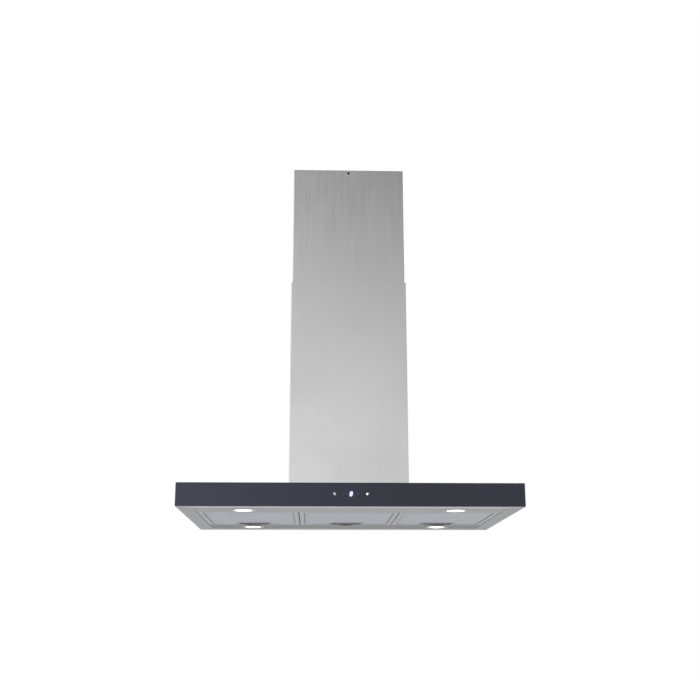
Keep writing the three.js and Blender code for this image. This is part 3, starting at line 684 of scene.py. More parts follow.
lamp_key = bmesh.new()
lamp_middle = Vector((lamp_x, symbol_height))
add_circle_strokes(lamp_key, lamp_middle, key_reach * 0.42, 0.0016, 0, 360, 12)
for ray in range(8):
    angle = math.radians(45 * ray)
    direction = Vector((math.cos(angle), math.sin(angle)))
    ray_start = lamp_middle + direction * key_reach * 0.60
    add_stroke(lamp_key, ray_start, lamp_middle + direction * key_reach * 0.92, 0.0010)
place_mark("lamp_key_mark", lamp_key, lit("bright_key_light", (1.0, 1.0, 1.0), 2.2))

speed_keys = bmesh.new()
arm = 0.0021
for x in (minus_x, plus_x):
    add_stroke(speed_keys, (x - arm, symbol_height), (x + arm, symbol_height), 0.0007)
add_stroke(speed_keys, (plus_x, symbol_height - arm), (plus_x, symbol_height + arm), 0.0007)
place_mark("speed_key_marks", speed_keys, lit("dim_key_light", (0.45, 0.48, 0.6), 0.35))

# ---- Lamp panels and lamps ---------------------------------------------------------------------
# The front and rear strips of the underside are brushed sheet, brushed along their length. Each
# lamp is a satin chrome trim ring, pressed over a frosted lens with a cast heat sink behind it.

# The rear strip's steel is a darker copy of the front's: painted shade, as the rear strip lies in shade.
for side, dark, light in (("front", 0.53, 0.60), ("rear", 0.30, 0.355)):
    cool_dark, cool_light = (dark, dark, dark + 0.01), (light, light, light + 0.01)
    panel_steel = brushed_steel(f"panel_steel_{side}", (7, 1100, 1100), cool_dark, cool_light, 0.34)
    finish_piece(
        f"lamp_panel_{side}_sheet", softened(f"lamp_panel_{side}", 0.0002), "hood",
        panel_steel, [f"lamp_panel_{side}"],
    )


def turned_ring(shape, centre, profile, sides=64, axis="z"):
    """Adds a turned body. profile lists pairs of radius and distance along the axis, as a closed loop or
    from the axis back to it."""
    turn = {
        "x": Matrix.Rotation(math.pi / 2, 3, "Y"),
        "y": Matrix.Rotation(-math.pi / 2, 3, "X"),
        "z": Matrix.Identity(3),
    }[axis]
    rows = []
    for radius, height in profile:
        if radius < 1e-7:
            rows.append([shape.verts.new(Vector(centre) + turn @ Vector((0, 0, height)))] * sides)
            continue
        rows.append(turned_row(shape, centre, turn, lambda angle: radius, height, sides))
    for row, after in zip(rows, rows[1:] + rows[:1]):
        if row[0] is row[1] and after[0] is after[1]:
            continue
        for k in range(sides):
            n = (k + 1) % sides
            corners = []
            for vertex in (row[k], row[n], after[n], after[k]):
                if vertex not in corners:
                    corners.append(vertex)
            shape.faces.new(corners)


def stand_round(shape, centre, count, middle, size):
    """Adds a circle of equal bars. middle is the first one's centre, seen from the axis."""
    for bar in range(count):
        turn = Matrix.Translation(Vector(centre)) @ Matrix.Rotation(2 * math.pi * bar / count, 4, "Z")
        place = turn @ Matrix.Translation(middle) @ Matrix.Diagonal((*size, 1))
        bmesh.ops.create_cube(shape, size=1, matrix=place)


def round_box(node):
    """The box of a round node, the middle of its plan and its radius."""
    low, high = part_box(node)
    return low, high, ((low.x + high.x) / 2, (low.y + high.y) / 2, 0), (high.x - low.x) / 2


def satin_chrome():
    """The lamps' trim rings, turned and plated, with fine rings from the lathe."""
    material, tree, shader = shader_material("satin_chrome", (0.66, 0.67, 0.68), 1.0, 0.18)
    scratches, patches = grain(tree, (900, 900, 900), 40.0)
    set_colour(tree, shader, spread(tree, patches, (0.58, 0.59, 0.60), (0.70, 0.71, 0.72)))
    set_roughness(tree, shader, scratches, 0.15, 0.26)
    return material


def lit_lens():
    """The frosted lens: a warm white glow with a fine grain."""
    material, tree, shader = shader_material("lit_lens", (0.95, 0.95, 0.93), 0.0, 0.35)
    scratches, patches = grain(tree, (1500, 1500, 1500), 300.0)
    set_bump(tree, shader, scratches, 0.3, 0.0002)
    tone = spread(tree, patches, (1.0, 0.97, 0.90), (1.0, 1.0, 0.97))
    tree.links.new(tone, shader.inputs["Emission Color"])
    shader.inputs["Emission Strength"].default_value = 4.0
    return material


def cast_aluminium():
    """Grey as-cast aluminium with a fine grain."""
    material, tree, shader = shader_material("cast_aluminium", (0.42, 0.43, 0.44), 0.9, 0.5)
    scratches, patches = grain(tree, (600, 600, 600), 60.0)
    tone = spread(tree, patches, (0.34, 0.35, 0.36), (0.50, 0.51, 0.52))
    dust = use_group(tree, settled_dust, {"Amount": 0.4})["Mask"]
    set_colour(tree, shader, blend_colours(tree, dust, tone, (0.40, 0.38, 0.35)))
    set_bump(tree, shader, scratches, 0.35, 0.0003)
    return material


trim_chrome = satin_chrome()
lens_glow = lit_lens()
sink_cast = cast_aluminium()
corner_names = ("front_left", "front_right", "rear_left", "rear_right")


def build_lamp(where):
    """One lamp: its stepped trim ring, its shallow domed lens and its finned heat sink."""
    low, high, centre, outer = round_box(f"lamp_trim_{where}")
    lens_low, lens_high, _, lens = round_box(f"lamp_lens_{where}")
    sink_low, sink_high, _, sink = round_box(f"lamp_heat_sink_{where}")
    bore = lens + 0.0003
    face = low.z + 0.0015
    trim = bmesh.new()
    turned_ring(trim, centre, [
        (bore, face - 0.0006), (bore + 0.0006, low.z + 0.0004), (bore + 0.0018, low.z),
        (bore + 0.0040, low.z + 0.0002), (outer - 0.0032, low.z + 0.0005),
        (outer - 0.0010, low.z + 0.0009), (outer - 0.0002, face - 0.0002),
        (outer, face), (sink, face), (sink, high.z), (bore, high.z),
    ])
    finish_piece(
        f"lamp_trim_ring_{where}", trim, "hood", trim_chrome,
        [f"lamp_trim_{where}"], smooth=35,
    )
    glass = bmesh.new()
    dome_rise = 0.0012
    steps = [math.pi / 2 * k / 8 for k in range(9)]
    dome = [(lens * math.sin(a), lens_low.z + dome_rise * (1 - math.cos(a))) for a in steps]
    turned_ring(glass, centre, dome + [(lens, lens_high.z), (0, lens_high.z)])
    finish_piece(
        f"lamp_lens_dome_{where}", glass, "hood", lens_glow,
        [f"lamp_lens_{where}"], smooth=35,
    )
    body = bmesh.new()
    plate = sink_low.z + 0.003
    turned_ring(body, centre, [
        (0, sink_low.z), (sink, sink_low.z), (sink, plate), (sink - 0.004, plate),
        (sink - 0.006, sink_high.z), (0, sink_high.z),
    ])
    fin_middle = (sink - 0.0052, 0, (sink_low.z + sink_high.z) / 2)
    stand_round(body, centre, 16, fin_middle, (0.0100, 0.0016, sink_high.z - sink_low.z))
    finish_piece(
        f"lamp_heat_sink_fins_{where}", body, "hood", sink_cast,
        [f"lamp_heat_sink_{where}"], smooth=35,
    )


for where in corner_names:
    build_lamp(where)

# ---- Grease filters ----------------------------------------------------------------------------
# Each filter is a rolled aluminium channel, mitred at its corners, round layers of expanded
# aluminium mesh. Two tabs rest on the front panel, and a pressed tray behind holds the latch.

filter_places = ("left", "centre", "right")
frame_border = 0.0125
channel_sheet = 0.0012
tab_spread = 0.080
tab_half = 0.010
tray_half = 0.045
tray_depth = 0.052


def rolled_aluminium():
    """Satin rolled aluminium of the filters' frames."""
    material, tree, shader = shader_material("rolled_aluminium", (0.62, 0.63, 0.64), 1.0, 0.36)
    scratches, patches = grain(tree, (1200, 1200, 60), 30.0)
    tone = spread(tree, scratches, (0.58, 0.595, 0.61), (0.73, 0.745, 0.76))
    set_colour(tree, shader, wear_and_highlight_on_edges(tree, tone, 0.5, (0.8, 0.81, 0.82), {"Width": 0.0008}))
    set_roughness(tree, shader, patches, 0.30, 0.44)
    set_bump(tree, shader, scratches, 0.10, 0.0001)
    return material


def make_frame_shadow_margin():
    """A mask for the painted shadow that the frame casts along the mesh, where the mesh goes under it."""
    group, start, end = shader_group("frame_shadow_margin", {"Width": 0.0032}, {"Mask": "NodeSocketFloat"})
    low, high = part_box("filter_frame_centre")
    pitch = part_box("filter_frame_right")[0].x - low.x
    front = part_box("filter_mesh_centre")[0].y - channel_sheet + frame_border
    back = high.y - frame_border
    half_width = (high.x - low.x) / 2 - frame_border
    place = object_space(group)
    x, y, z = add_node(group, "SeparateXYZ", {"Vector": place})
    turn = calculate(group, "ROUND", calculate(group, "DIVIDE", x, pitch))
    from_middle = calculate(group, "SUBTRACT", x, multiply(group, turn, pitch))
    across = calculate(group, "ABSOLUTE", from_middle)
    along = calculate(group, "ABSOLUTE", calculate(group, "SUBTRACT", y, (front + back) / 2))
    to_side = calculate(group, "SUBTRACT", half_width, across)
    to_end = calculate(group, "SUBTRACT", (back - front) / 2, along)
    nearer = calculate(group, "MINIMUM", to_side, to_end)
    group.links.new(ramp(group, nearer, start["Width"], 0.0004), end["Mask"])
    return group


frame_shadow_margin = make_frame_shadow_margin()


def frame_shadowed(tree, colour):
    """A colour of the mesh, darkened along the frame by a painted shadow."""
    # Painted shadow: the mesh is darkened where the frame's lip shades it.
    frame_shadow = multiply(tree, use_group(tree, frame_shadow_margin, {})["Mask"], 0.72)
    return blend_colours(tree, frame_shadow, colour, (0.16, 0.165, 0.17))


def expanded_aluminium():
    """The bright, slightly cloudy strands of the expanded mesh."""
    material, tree, shader = shader_material("expanded_aluminium", (0.82, 0.84, 0.87), 0.58, 0.45)
    scratches, patches = grain(tree, (500, 500, 500), 18.0)
    tone = spread(tree, scratches, (0.86, 0.89, 0.93), (0.93, 0.96, 0.99))
    cloudy = ramp(tree, patches, 0.4, 0.75, 0.0, 0.25)
    dull = blend_colours(tree, cloudy, tone, (0.80, 0.82, 0.84))
    set_colour(tree, shader, frame_shadowed(tree, dull))
    return material


def crimped_foil():
    """The inner layers of the mesh, seen as one sheet of small diamonds with darker gaps."""
    wave_across, wave_along = 628.0, 1256.0
    material, tree, shader = shader_material("crimped_foil", (0.6, 0.6, 0.6), 0.6, 0.5)
    place = object_space(tree)
    x, y, z = add_node(tree, "SeparateXYZ", {"Vector": place})
    waves = []
    for slant in (wave_along, -wave_along):
        angle = calculate(tree, "ADD", multiply(tree, x, wave_across), multiply(tree, y, slant))
        waves.append(calculate(tree, "ABSOLUTE", calculate(tree, "SINE", angle)))
    strand = ramp(tree, calculate(tree, "MINIMUM", waves[0], waves[1]), 0.50, 0.22)
    diamonds = blend_colours(tree, strand, (0.62, 0.65, 0.69), (0.92, 0.95, 0.98))
    set_colour(tree, shader, frame_shadowed(tree, diamonds))
    set_bump(tree, shader, strand, 0.6, 0.0006)
    return material


frame_aluminium = rolled_aluminium()
mesh_aluminium = expanded_aluminium()
foil_aluminium = crimped_foil()


def add_strand_row(shape, points, width, thickness):
    """Adds one zigzag strand of the mesh along a row of points."""
    rows = []
    for x, y, z in points:
        corners = ((-width / 2, -thickness / 2), (width / 2, -thickness / 2),
                   (width / 2, thickness / 2), (-width / 2, thickness / 2))
        rows.append([shape.verts.new((x, y + across, z + up)) for across, up in corners])
    bridge(shape, rows)
    cap_ends(shape, rows)


def expand_mesh(shape, field, tray, level, long_way, short_way, strand):
    """Fills a field with rows of zigzag strands that meet in diamonds, clear of the latch's tray."""
    (low, high), (tray_low, tray_high) = field, tray
    skew = 0.0002
    rows = int((high[1] - low[1]) / (short_way / 2))
    columns = int((high[0] - low[0]) / (long_way / 2))
    swing = short_way / 4 - strand * 0.35
    for row in range(rows + 1):
        base = low[1] + row * short_way / 2
        run = []
        for column in range(columns + 1):
            x = low[0] + column * long_way / 2
            up = 1 if (row + column) % 2 else -1
            spot = (x, base + up * swing, level + skew * up)
            beside_tray = tray_low[0] < x < tray_high[0] and base + swing > tray_low[1]
            if beside_tray or spot[1] > high[1]:
                if len(run) > 1:
                    add_strand_row(shape, run, strand, strand * 0.6)
                run = []
            else:
                run.append(spot)
        if len(run) > 1:
            add_strand_row(shape, run, strand, strand * 0.6)


def build_filter(where):
    """One filter: its channel frame with tabs and rivets, the latch's tray, and the mesh."""
    body = f"filter_{where}"
    low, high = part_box(f"filter_frame_{where}")
    mesh_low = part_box(f"filter_mesh_{where}")[0]
    middle = (low.x + high.x) / 2
    gap = channel_sheet + 0.0003
    front = mesh_low.y - gap
    back = high.y
    width = high.x - low.x
    depth = back - front
    centre = (middle, (front + back) / 2)
    lip = 0.0005
    channel = bmesh.new()
    sheet_ring(channel, centre, width, depth, 0.0012, [
        (frame_border, low.z + lip), (frame_border - lip, low.z), (lip, low.z), (0, low.z + lip),
        (0, high.z - lip), (lip, high.z), (frame_border - lip, high.z), (frame_border, high.z - lip),
        (frame_border, high.z - channel_sheet), (channel_sheet, high.z - channel_sheet),
        (channel_sheet, low.z + channel_sheet), (frame_border, low.z + channel_sheet),
    ])
    tab_bottom = low.z + 0.0014
    for side in (-1, 1):
        at = middle + side * tab_spread
        tab_low = (at - tab_half, low.y, tab_bottom)
        tab_high = (at + tab_half, front + 0.0010, tab_bottom + 0.0015)
        add_block(channel, tab_low, tab_high, 0.0004, 2)
    finish_piece(
        f"filter_channel_{where}", channel, body, frame_aluminium,
        [f"filter_frame_{where}"],
    )
    rivets = bmesh.new()
    rivet_section = [(0, -0.0006), (0.0011, -0.0005), (0.0019, 0.0), (0.0019, 0.0004), (0, 0.0004)]
    for side_x in (-1, 1):
        for side_y in (-1, 1):
            at = (
                middle + side_x * (width / 2 - frame_border / 2),
                centre[1] + side_y * (depth / 2 - frame_border / 2), low.z,
            )
            turned_ring(rivets, at, rivet_section, 20)
    finish_piece(
        f"filter_rivets_{where}", rivets, body, frame_aluminium, smooth=40
    )

    tray_back = back - 0.0055
    tray_front = tray_back - tray_depth
    tray = bmesh.new()
    sheet_ring(
        tray, (middle, (tray_front + tray_back) / 2), 2 * tray_half, tray_back - tray_front, 0.004,
        [(0, low.z + 0.0004), (0, high.z - 0.001), (0.001, high.z - 0.001), (0.001, low.z + 0.0008),
         (0.0008, low.z - 0.0003), (-0.0022, low.z - 0.0003), (-0.0022, low.z + 0.0001)],
    )
    add_block(
        tray, (middle - tray_half + 0.0005, tray_front + 0.0005, high.z - 0.001),
        (middle + tray_half - 0.0005, tray_back - 0.0005, high.z), 0.0003,
    )
    finish_piece(f"latch_tray_{where}", tray, body, frame_aluminium, smooth=35)

    weave = bmesh.new()
    inset = 0.0105
    field = ((low.x + inset, front + inset), (high.x - inset, back - inset))
    clear = tray_half + 0.003
    round_tray = ((middle - clear, tray_front - 0.003), (middle + clear, back))
    for rise, long_way, short_way, strand in mesh_layers:
        expand_mesh(weave, field, round_tray, mesh_low.z + rise, long_way, short_way, strand)
    finish_piece(
        f"filter_expanded_mesh_{where}", weave, body, mesh_aluminium,
        [f"filter_mesh_{where}"],
    )
    foil = bmesh.new()
    level = mesh_low.z + 0.0024
    edges = (low.x + 0.0020, front + 0.0020, high.x - 0.0020, back - 0.0020)
    add_block(foil, (edges[0], edges[1], level), (edges[2], tray_front - 0.0004, level + 0.0008))
    for start, end in ((edges[0], middle - tray_half - 0.0004), (middle + tray_half + 0.0004, edges[2])):
        add_block(foil, (start, tray_front - 0.0004, level), (end, edges[3], level + 0.0008))
    finish_piece(f"filter_inner_layers_{where}", foil, body, foil_aluminium)


# Each layer's rise over the mesh's lower face, the long and short way of its diamonds, and its strand.
mesh_layers = (
    (0.0002, 0.012, 0.006, 0.0011), (0.0013, 0.009, 0.0052, 0.0010), (0.0039, 0.014, 0.0075, 0.0012),
)
for where in filter_places:
    build_filter(where)

# ---- Filter latches ----------------------------------------------------------------------------
# A dark moulded slider in each tray: a bow-shaped pull that hangs just below the filter, a tongue
# that reaches over the rear panel's edge, and a steel spring that pushes it back.

def moulded_plastic(name, dark, light, roughness):
    """Moulded plastic with a fine spark-eroded texture and slightly paler edges."""
    material, tree, shader = shader_material(name, dark, 0.0, roughness)
    scratches, patches = grain(tree, (1800, 1800, 1800), 25.0)
    tone = spread(tree, patches, dark, light)
    worn_and_highlit = tuple(min(1.0, 1.8 * part) for part in light)
    set_colour(tree, shader, wear_and_highlight_on_edges(tree, tone, 0.6, worn_and_highlit, {"Width": 0.0006, "Breakup": 200.0}))
    set_roughness(tree, shader, patches, roughness - 0.06, roughness + 0.06)
    set_bump(tree, shader, scratches, 0.25, 0.0002)
    return material


def bright_spring_steel():
    """Drawn spring wire and ground bar, with faint marks."""
    material, tree, shader = shader_material("bright_spring_steel", (0.5, 0.5, 0.51), 1.0, 0.25)
    scratches, patches = grain(tree, (2500, 2500, 2500), 120.0)
    set_colour(tree, shader, spread(tree, patches, (0.40, 0.40, 0.41), (0.58, 0.58, 0.59)))
    set_roughness(tree, shader, scratches, 0.20, 0.36)
    return material


bulge_width = 0.050
bulge_drop = 0.0036
latch_plastic = moulded_plastic("latch_plastic", (0.255, 0.260, 0.245), (0.30, 0.305, 0.29), 0.48)
spring_steel = bright_spring_steel()


def bow_pull(shape, low, high, front, blade, steps=40):
    """Adds the pull: a bar along the slider's whole width that bulges downwards in its middle."""
    middle = (low.x + high.x) / 2
    half = (high.x - low.x) / 2 - 0.0004
    top = high.z - 0.0010
    shallow = low.z + bulge_drop
    rows = []
    for step in range(steps + 1):
        across = -1 + 2 * step / steps
        x = middle + across * half
        bulge = max(0.0, 1 - (across * half / (bulge_width / 2)) ** 2)
        end_round = 0.0010 * max(0.0, (abs(across) - 0.95) / 0.05) ** 2
        y = front + 0.0015 * across * across
        bottom = shallow - bulge_drop * bulge + end_round
        section = [
            (y, top), (y, bottom + 0.0009), (y + blade * 0.2, bottom + 0.0002), (y + blade * 0.5, bottom),
            (y + blade * 0.8, bottom + 0.0002), (y + blade, bottom + 0.0009), (y + blade, top),
        ]
        rows.append([shape.verts.new((x, depth, height)) for depth, height in section])
    rows.reverse()
    bridge(shape, rows)
    cap_ends(shape, rows)


def wind_spring(shape, start, end, radius, wire, turns, sides=8, per_turn=20):
    """Adds a coil spring along Y, with its last turn at each end wound close."""
    count = turns * per_turn
    rows = []
    for k in range(count + 1):
        angle = 2 * math.pi * k / per_turn
        share = k / count
        along = start.y + (end.y - start.y) * (share - math.sin(4 * math.pi * share) * 0.02)
        centre = Vector((start.x + radius * math.cos(angle), along, start.z + radius * math.sin(angle)))
        outwards = Vector((math.cos(angle), 0, math.sin(angle)))
        row = []
        for side in range(sides):
            turn = 2 * math.pi * side / sides
            spot = outwards * math.cos(turn) + Vector((0, math.sin(turn), 0))
            row.append(shape.verts.new(centre + wire * spot))
        rows.append(row)
    bridge(shape, rows)
    cap_ends(shape, rows)


def build_latch(where):
    """One latch: the pull and its slider plate, the tongue, and the spring behind the pull."""
    low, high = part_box(f"filter_latch_{where}")
    middle = (low.x + high.x) / 2
    plate_top = high.z
    plate_bottom = plate_top - 0.0025
    plate_back = low.y + 0.032
    slider = bmesh.new()
    bow_pull(slider, low, high, low.y + 0.016, 0.0030)
    add_block(slider, (low.x, low.y, plate_bottom), (high.x, plate_back, plate_top), 0.0005, 2)
    add_block(
        slider, (middle - 0.012, plate_back - 0.002, plate_bottom),
        (middle + 0.012, high.y, plate_bottom + 0.002), 0.0004, 2,
    )
    add_block(
        slider, (middle - 0.006, low.y, plate_bottom - 0.003),
        (middle + 0.006, low.y + 0.002, plate_top - 0.001), 0.0004, 2,
    )
    for rib in range(-3, 4):
        at = middle + rib * 0.010
        add_block(
            slider, (at - 0.0006, low.y + 0.0200, plate_bottom - 0.0010),
            (at + 0.0006, plate_back - 0.001, plate_bottom + 0.0002), 0.0003,
        )
    finish_piece(
        f"latch_slider_{where}", slider, f"latch_{where}", latch_plastic,
        [f"filter_latch_{where}"], smooth=35,
    )
    coil_low, coil_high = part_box(f"latch_spring_{where}")
    coil = bmesh.new()
    height = (coil_low.z + coil_high.z) / 2
    wire = 0.00035
    radius = (coil_high.x - coil_low.x) / 2 - wire
    start = Vector((middle, coil_low.y + wire, height))
    wind_spring(coil, start, Vector((middle, coil_high.y - wire, height)), radius, wire, 5)
    spring = finish_piece(
        f"latch_coil_spring_{where}", coil, f"filter_{where}", spring_steel,
        [f"latch_spring_{where}"], smooth=60,
    )
    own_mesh(spring)


for where in filter_places:
    build_latch(where)

# ---- Ceiling plate, rails and braces -----------------------------------------------------------
# Folded zinc-coated steel: a plate that is screwed to the ceiling, and two telescoping sets of
# angle rails tied by bands. Screws through the rails' slots clamp the height.

def zinc_coated(name, dark, light, roughness):
    """Zinc-coated sheet with a soft spangle, fine rolling marks and a little dust on top."""
    material, tree, shader = shader_material(name, light, 1.0, roughness)
    place = object_space(tree)
    wander = add_node(tree, "TexNoise", {"Vector": place, "Scale": 60.0, "Detail": 2.0})["Color"]
    shift = add_node(tree, "VectorMath", {0: wander, "Scale": 0.006}, operation="SCALE")["Vector"]
    spot = add_node(tree, "VectorMath", {0: place, 1: shift}, operation="ADD")["Vector"]
    spangle = add_node(tree, "TexVoronoi", {"Vector": spot, "Scale": 140.0})["Color"]
    shade = add_node(tree, "SeparateXYZ", {"Vector": spangle})["X"]
    tone = blend_colours(tree, shade, dark, light)
    worn_and_highlit = wear_and_highlight_on_edges(tree, tone, 0.4, (0.66, 0.67, 0.68), {"Width": 0.0008, "Breakup": 120.0})
    dust = use_group(tree, settled_dust, {"Amount": 0.5, "Patch Scale": 20.0})["Mask"]
    set_colour(tree, shader, blend_colours(tree, dust, worn_and_highlit, (0.42, 0.40, 0.37)))
    gloss = ramp(tree, shade, 0.0, 1.0, roughness - 0.08, roughness + 0.10)
    tree.links.new(calculate(tree, "ADD", gloss, dust), shader.inputs["Roughness"])
    return material


zinc_sheet = zinc_coated("zinc_sheet", (0.36, 0.37, 0.38), (0.50, 0.52, 0.53), 0.42)


def refine(node, body, material, edge=0.0002, fold=0.0, smooth=None):
    """Replaces a CAD node by the same shape with broken edges."""
    finish_piece(f"{node}_finished", softened(node, edge, fold), body, material, [node], smooth)


refine("ceiling_plate", "ceiling_frame", zinc_sheet, 0.0003, 0.0020)
for where in corner_names:
    refine(f"upper_rail_{where}", "ceiling_frame", zinc_sheet, 0.0003)
    refine(f"lower_rail_{where}", "hood", zinc_sheet, 0.0003)


def tie_band(node, body, name):
    """A band of steel strip bent round the rails."""
    low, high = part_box(node)
    band = bmesh.new()
    sheet_ring(
        band, (0, 0), high.x - low.x, high.y - low.y, 0.003, wall_profile(low.z, high.z, 0.002, 0.0003)
    )
    finish_piece(name, band, body, zinc_sheet, [node])


tie_band("upper_brace", "ceiling_frame", "upper_brace_band")
tie_band("lower_brace", "hood", "lower_brace_band")


def hex_nut(shape, place, out, across, height):
    """Adds a chamfered hexagon nut against a face. out is the direction away from the face."""
    turn = Vector(out).to_track_quat("Z", "Y").to_matrix()
    rows = []
    for reach, level in ((1.0, 0.0), (1.0, height * 0.85), (0.86, height)):
        rows.append(turned_row(shape, place, turn, lambda angle: across / 2 * reach, level, 6))
    bridge(shape, rows)
    cap_ends(shape, rows)


# A screw's head: its radius, height and sides. A nut: its width across the corners and its height.
clamp_screw = (0.0042, 0.0012, 24)
clamp_nut = (0.0081, 0.0032)


def clamp_the_rails():
    """Screws through the upper rails' lower ends and the slots of the lower rails, with nuts inside."""
    heads, nuts = bmesh.new(), bmesh.new()
    brace_low, brace_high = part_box("upper_brace")
    rail_low, rail_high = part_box("lower_rail_front_left")
    height = (brace_low.z + brace_high.z) / 2
    inset = (rail_high.x - rail_low.x) / 2 + 0.001
    rail_leaf = 0.0021
    for side_x in (-1, 1):
        for side_y in (-1, 1):
            x_face = side_x * brace_high.x
            y_face = side_y * brace_high.y
            along_x = side_x * (abs(rail_low.x) - inset)
            along_y = side_y * (abs(rail_low.y) - inset)
            screw_head(heads, (along_x, y_face, height), (0, side_y, 0), *clamp_screw)
            screw_head(heads, (x_face, along_y, height), (side_x, 0, 0), *clamp_screw)
            x_inside = side_x * (abs(rail_low.x) - rail_leaf)
            y_inside = side_y * (abs(rail_low.y) - rail_leaf)
            hex_nut(nuts, (along_x, y_inside, height), (0, -side_y, 0), *clamp_nut)
            hex_nut(nuts, (x_inside, along_y, height), (-side_x, 0, 0), *clamp_nut)
    finish_piece("rail_clamp_screws", heads, "ceiling_frame", spring_steel, smooth=40)
    finish_piece("rail_clamp_nuts", nuts, "ceiling_frame", spring_steel, smooth=20)


clamp_the_rails()

# ---- Base frame and blower box -----------------------------------------------------------------
# A folded ring on top of the canopy that locates the rails and the lower cover, and a spot-welded
# box of zinc-coated sheet over the intake, with its screws along the foot.

refine("base_frame", "hood", zinc_sheet, 0.0003, 0.0020)
refine("blower_box", "hood", zinc_sheet, 0.0002, 0.0012)


base_screw = (0.0040, 0.0018, 24)


def screw_the_base():
    """Eight screws that hold the base frame down on the canopy, inside its upstand."""
    low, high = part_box("base_frame")
    screws = bmesh.new()
    level = low.z + 0.002
    inset = 0.0150
    for side in (-1, 1):
        for share in (-0.30, 0.30):
            beside = (side * (high.x - inset), share * high.y, level)
            before = (share * high.x, side * (high.y - inset), level)
            for place in (beside, before):
                screw_head(screws, place, (0, 0, 1), *base_screw)
    finish_piece("base_frame_screws", screws, "hood", spring_steel, smooth=40)


screw_the_base()

# ---- Blower ------------------------------------------------------------------------------------
# A double-inlet drum fan of pressed aluminium in a zinc-coated scroll of two halves. Its motor
# hangs inside the drum on a three-armed bracket across the front inlet.

for half in ("front", "rear"):
    refine(f"scroll_{half}", "hood", zinc_sheet, 0.0002, 0.0, 35)
refine("motor_bracket", "hood", zinc_sheet, 0.0002, 0.0, 35)


def dull_aluminium(name, dark, light):
    """Pressed aluminium sheet, dulled by air and grease."""
    material, tree, shader = shader_material(name, light, 0.95, 0.42)
    scratches, patches = grain(tree, (900, 60, 900), 40.0)
    set_colour(tree, shader, spread(tree, patches, dark, light))
    set_roughness(tree, shader, scratches, 0.34, 0.50)
    return material


fan_aluminium = dull_aluminium("fan_aluminium", (0.36, 0.37, 0.38), (0.50, 0.51, 0.52))
refine("impeller", "fan", fan_aluminium, 0.0001, 0.0, 35)


def enamelled_casing():
    """Black stove enamel of the motor's casing."""
    black = (0.010, 0.010, 0.011)
    material, tree, shader = shader_material("enamelled_casing", black, 0.0, 0.38)
    _, patches = grain(tree, (700, 700, 700), 80.0)
    set_bump(tree, shader, patches, 0.2, 0.0004)
    set_colour(tree, shader, blend_colours(tree, patches, black, (0.022, 0.022, 0.024)))
    return material


def round_bar(radius, start, end, edge):
    """The section of a turned bar with chamfered ends."""
    return [
        (0, start), (radius - edge, start), (radius, start + edge), (radius, end - edge),
        (radius - edge, end), (0, end),
    ]


def build_motor():
    """The motor's casing with a rolled joint round its middle, and its shaft."""
    low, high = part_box("motor")
    centre = ((low.x + high.x) / 2, 0, (low.z + high.z) / 2)
    radius = (high.x - low.x) / 2
    seam = (low.y + high.y) / 2
    casing = bmesh.new()
    wall = radius - 0.0008
    turned_ring(casing, centre, [
        (0.0, low.y), (radius - 0.014, low.y), (radius - 0.010, low.y + 0.0010), (wall, low.y + 0.0095),
        (wall, seam - 0.0020), (radius, seam - 0.0012), (radius, seam + 0.0012), (wall, seam + 0.0020),
        (wall, high.y - 0.0095), (radius - 0.010, high.y - 0.0010), (radius - 0.014, high.y),
        (0.0045, high.y), (0.0045, high.y - 0.0080), (0.0, high.y - 0.0080),
    ], 72, "y")
    finish_piece("motor_casing", casing, "hood", enamelled_casing(), ["motor"], smooth=30)
    low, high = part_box("motor_shaft")
    radius = (high.x - low.x) / 2
    shaft = bmesh.new()
    turned_ring(shaft, centre, round_bar(radius, low.y, high.y, 0.0004), 32, "y")
    finish_piece(
        "motor_shaft_bar", shaft, "fan", spring_steel, ["motor_shaft"], smooth=35
    )


build_motor()

# ---- Duct collar and damper --------------------------------------------------------------------
# A spun zinc-coated collar for 150 mm duct, and two half-round aluminium flaps that swing up on a
# steel pin when the fan blows.

collar_screw = (0.0038, 0.0018, 24)


def build_collar():
    """The collar: a flange with four screws, a beaded spigot, and the ledge under the flaps."""
    low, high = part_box("outlet_collar")
    pin_low, pin_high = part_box("damper_pin")
    pin_height = (pin_low.z + pin_high.z) / 2
    flange = (high.x - low.x) / 2
    outer = 0.075
    inner = outer - 0.0015
    ledge_top = pin_height - 0.0008
    ledge_bottom = ledge_top - 0.0030
    ledge_reach = inner - 0.0055
    collar = bmesh.new()
    turned_ring(collar, (0, 0, 0), [
        (inner, low.z), (flange - 0.0004, low.z), (flange, low.z + 0.0004), (flange, low.z + 0.0016),
        (flange - 0.0004, low.z + 0.0020), (outer + 0.0025, low.z + 0.0020),
        (outer + 0.0007, low.z + 0.0027), (outer, low.z + 0.0045), (outer, high.z - 0.0004),
        (outer - 0.0004, high.z), (inner + 0.0004, high.z), (inner, high.z - 0.0004),
        (inner, ledge_top), (ledge_reach + 0.0003, ledge_top), (ledge_reach, ledge_top - 0.0003),
        (ledge_reach, ledge_bottom + 0.0003), (ledge_reach + 0.0003, ledge_bottom), (inner, ledge_bottom),
    ], 96)
    finish_piece("duct_collar", collar, "hood", zinc_sheet, ["outlet_collar"], smooth=35)
    screws = bmesh.new()
    screw_circle = 0.0845
    for turn in range(4):
        angle = math.radians(45 + 90 * turn)
        place = (screw_circle * math.cos(angle), screw_circle * math.sin(angle), low.z + 0.002)
        screw_head(screws, place, (0, 0, 1), *collar_screw)
    finish_piece("collar_screws", screws, "hood", spring_steel, smooth=40)
    pin = bmesh.new()
    radius = (pin_high.z - pin_low.z) / 2
    turned_ring(pin, (0, 0, pin_height), round_bar(radius, pin_low.x, pin_high.x, 0.0005), 24, "x")
    finish_piece("damper_pin_bar", pin, "hood", spring_steel, ["damper_pin"], smooth=35)


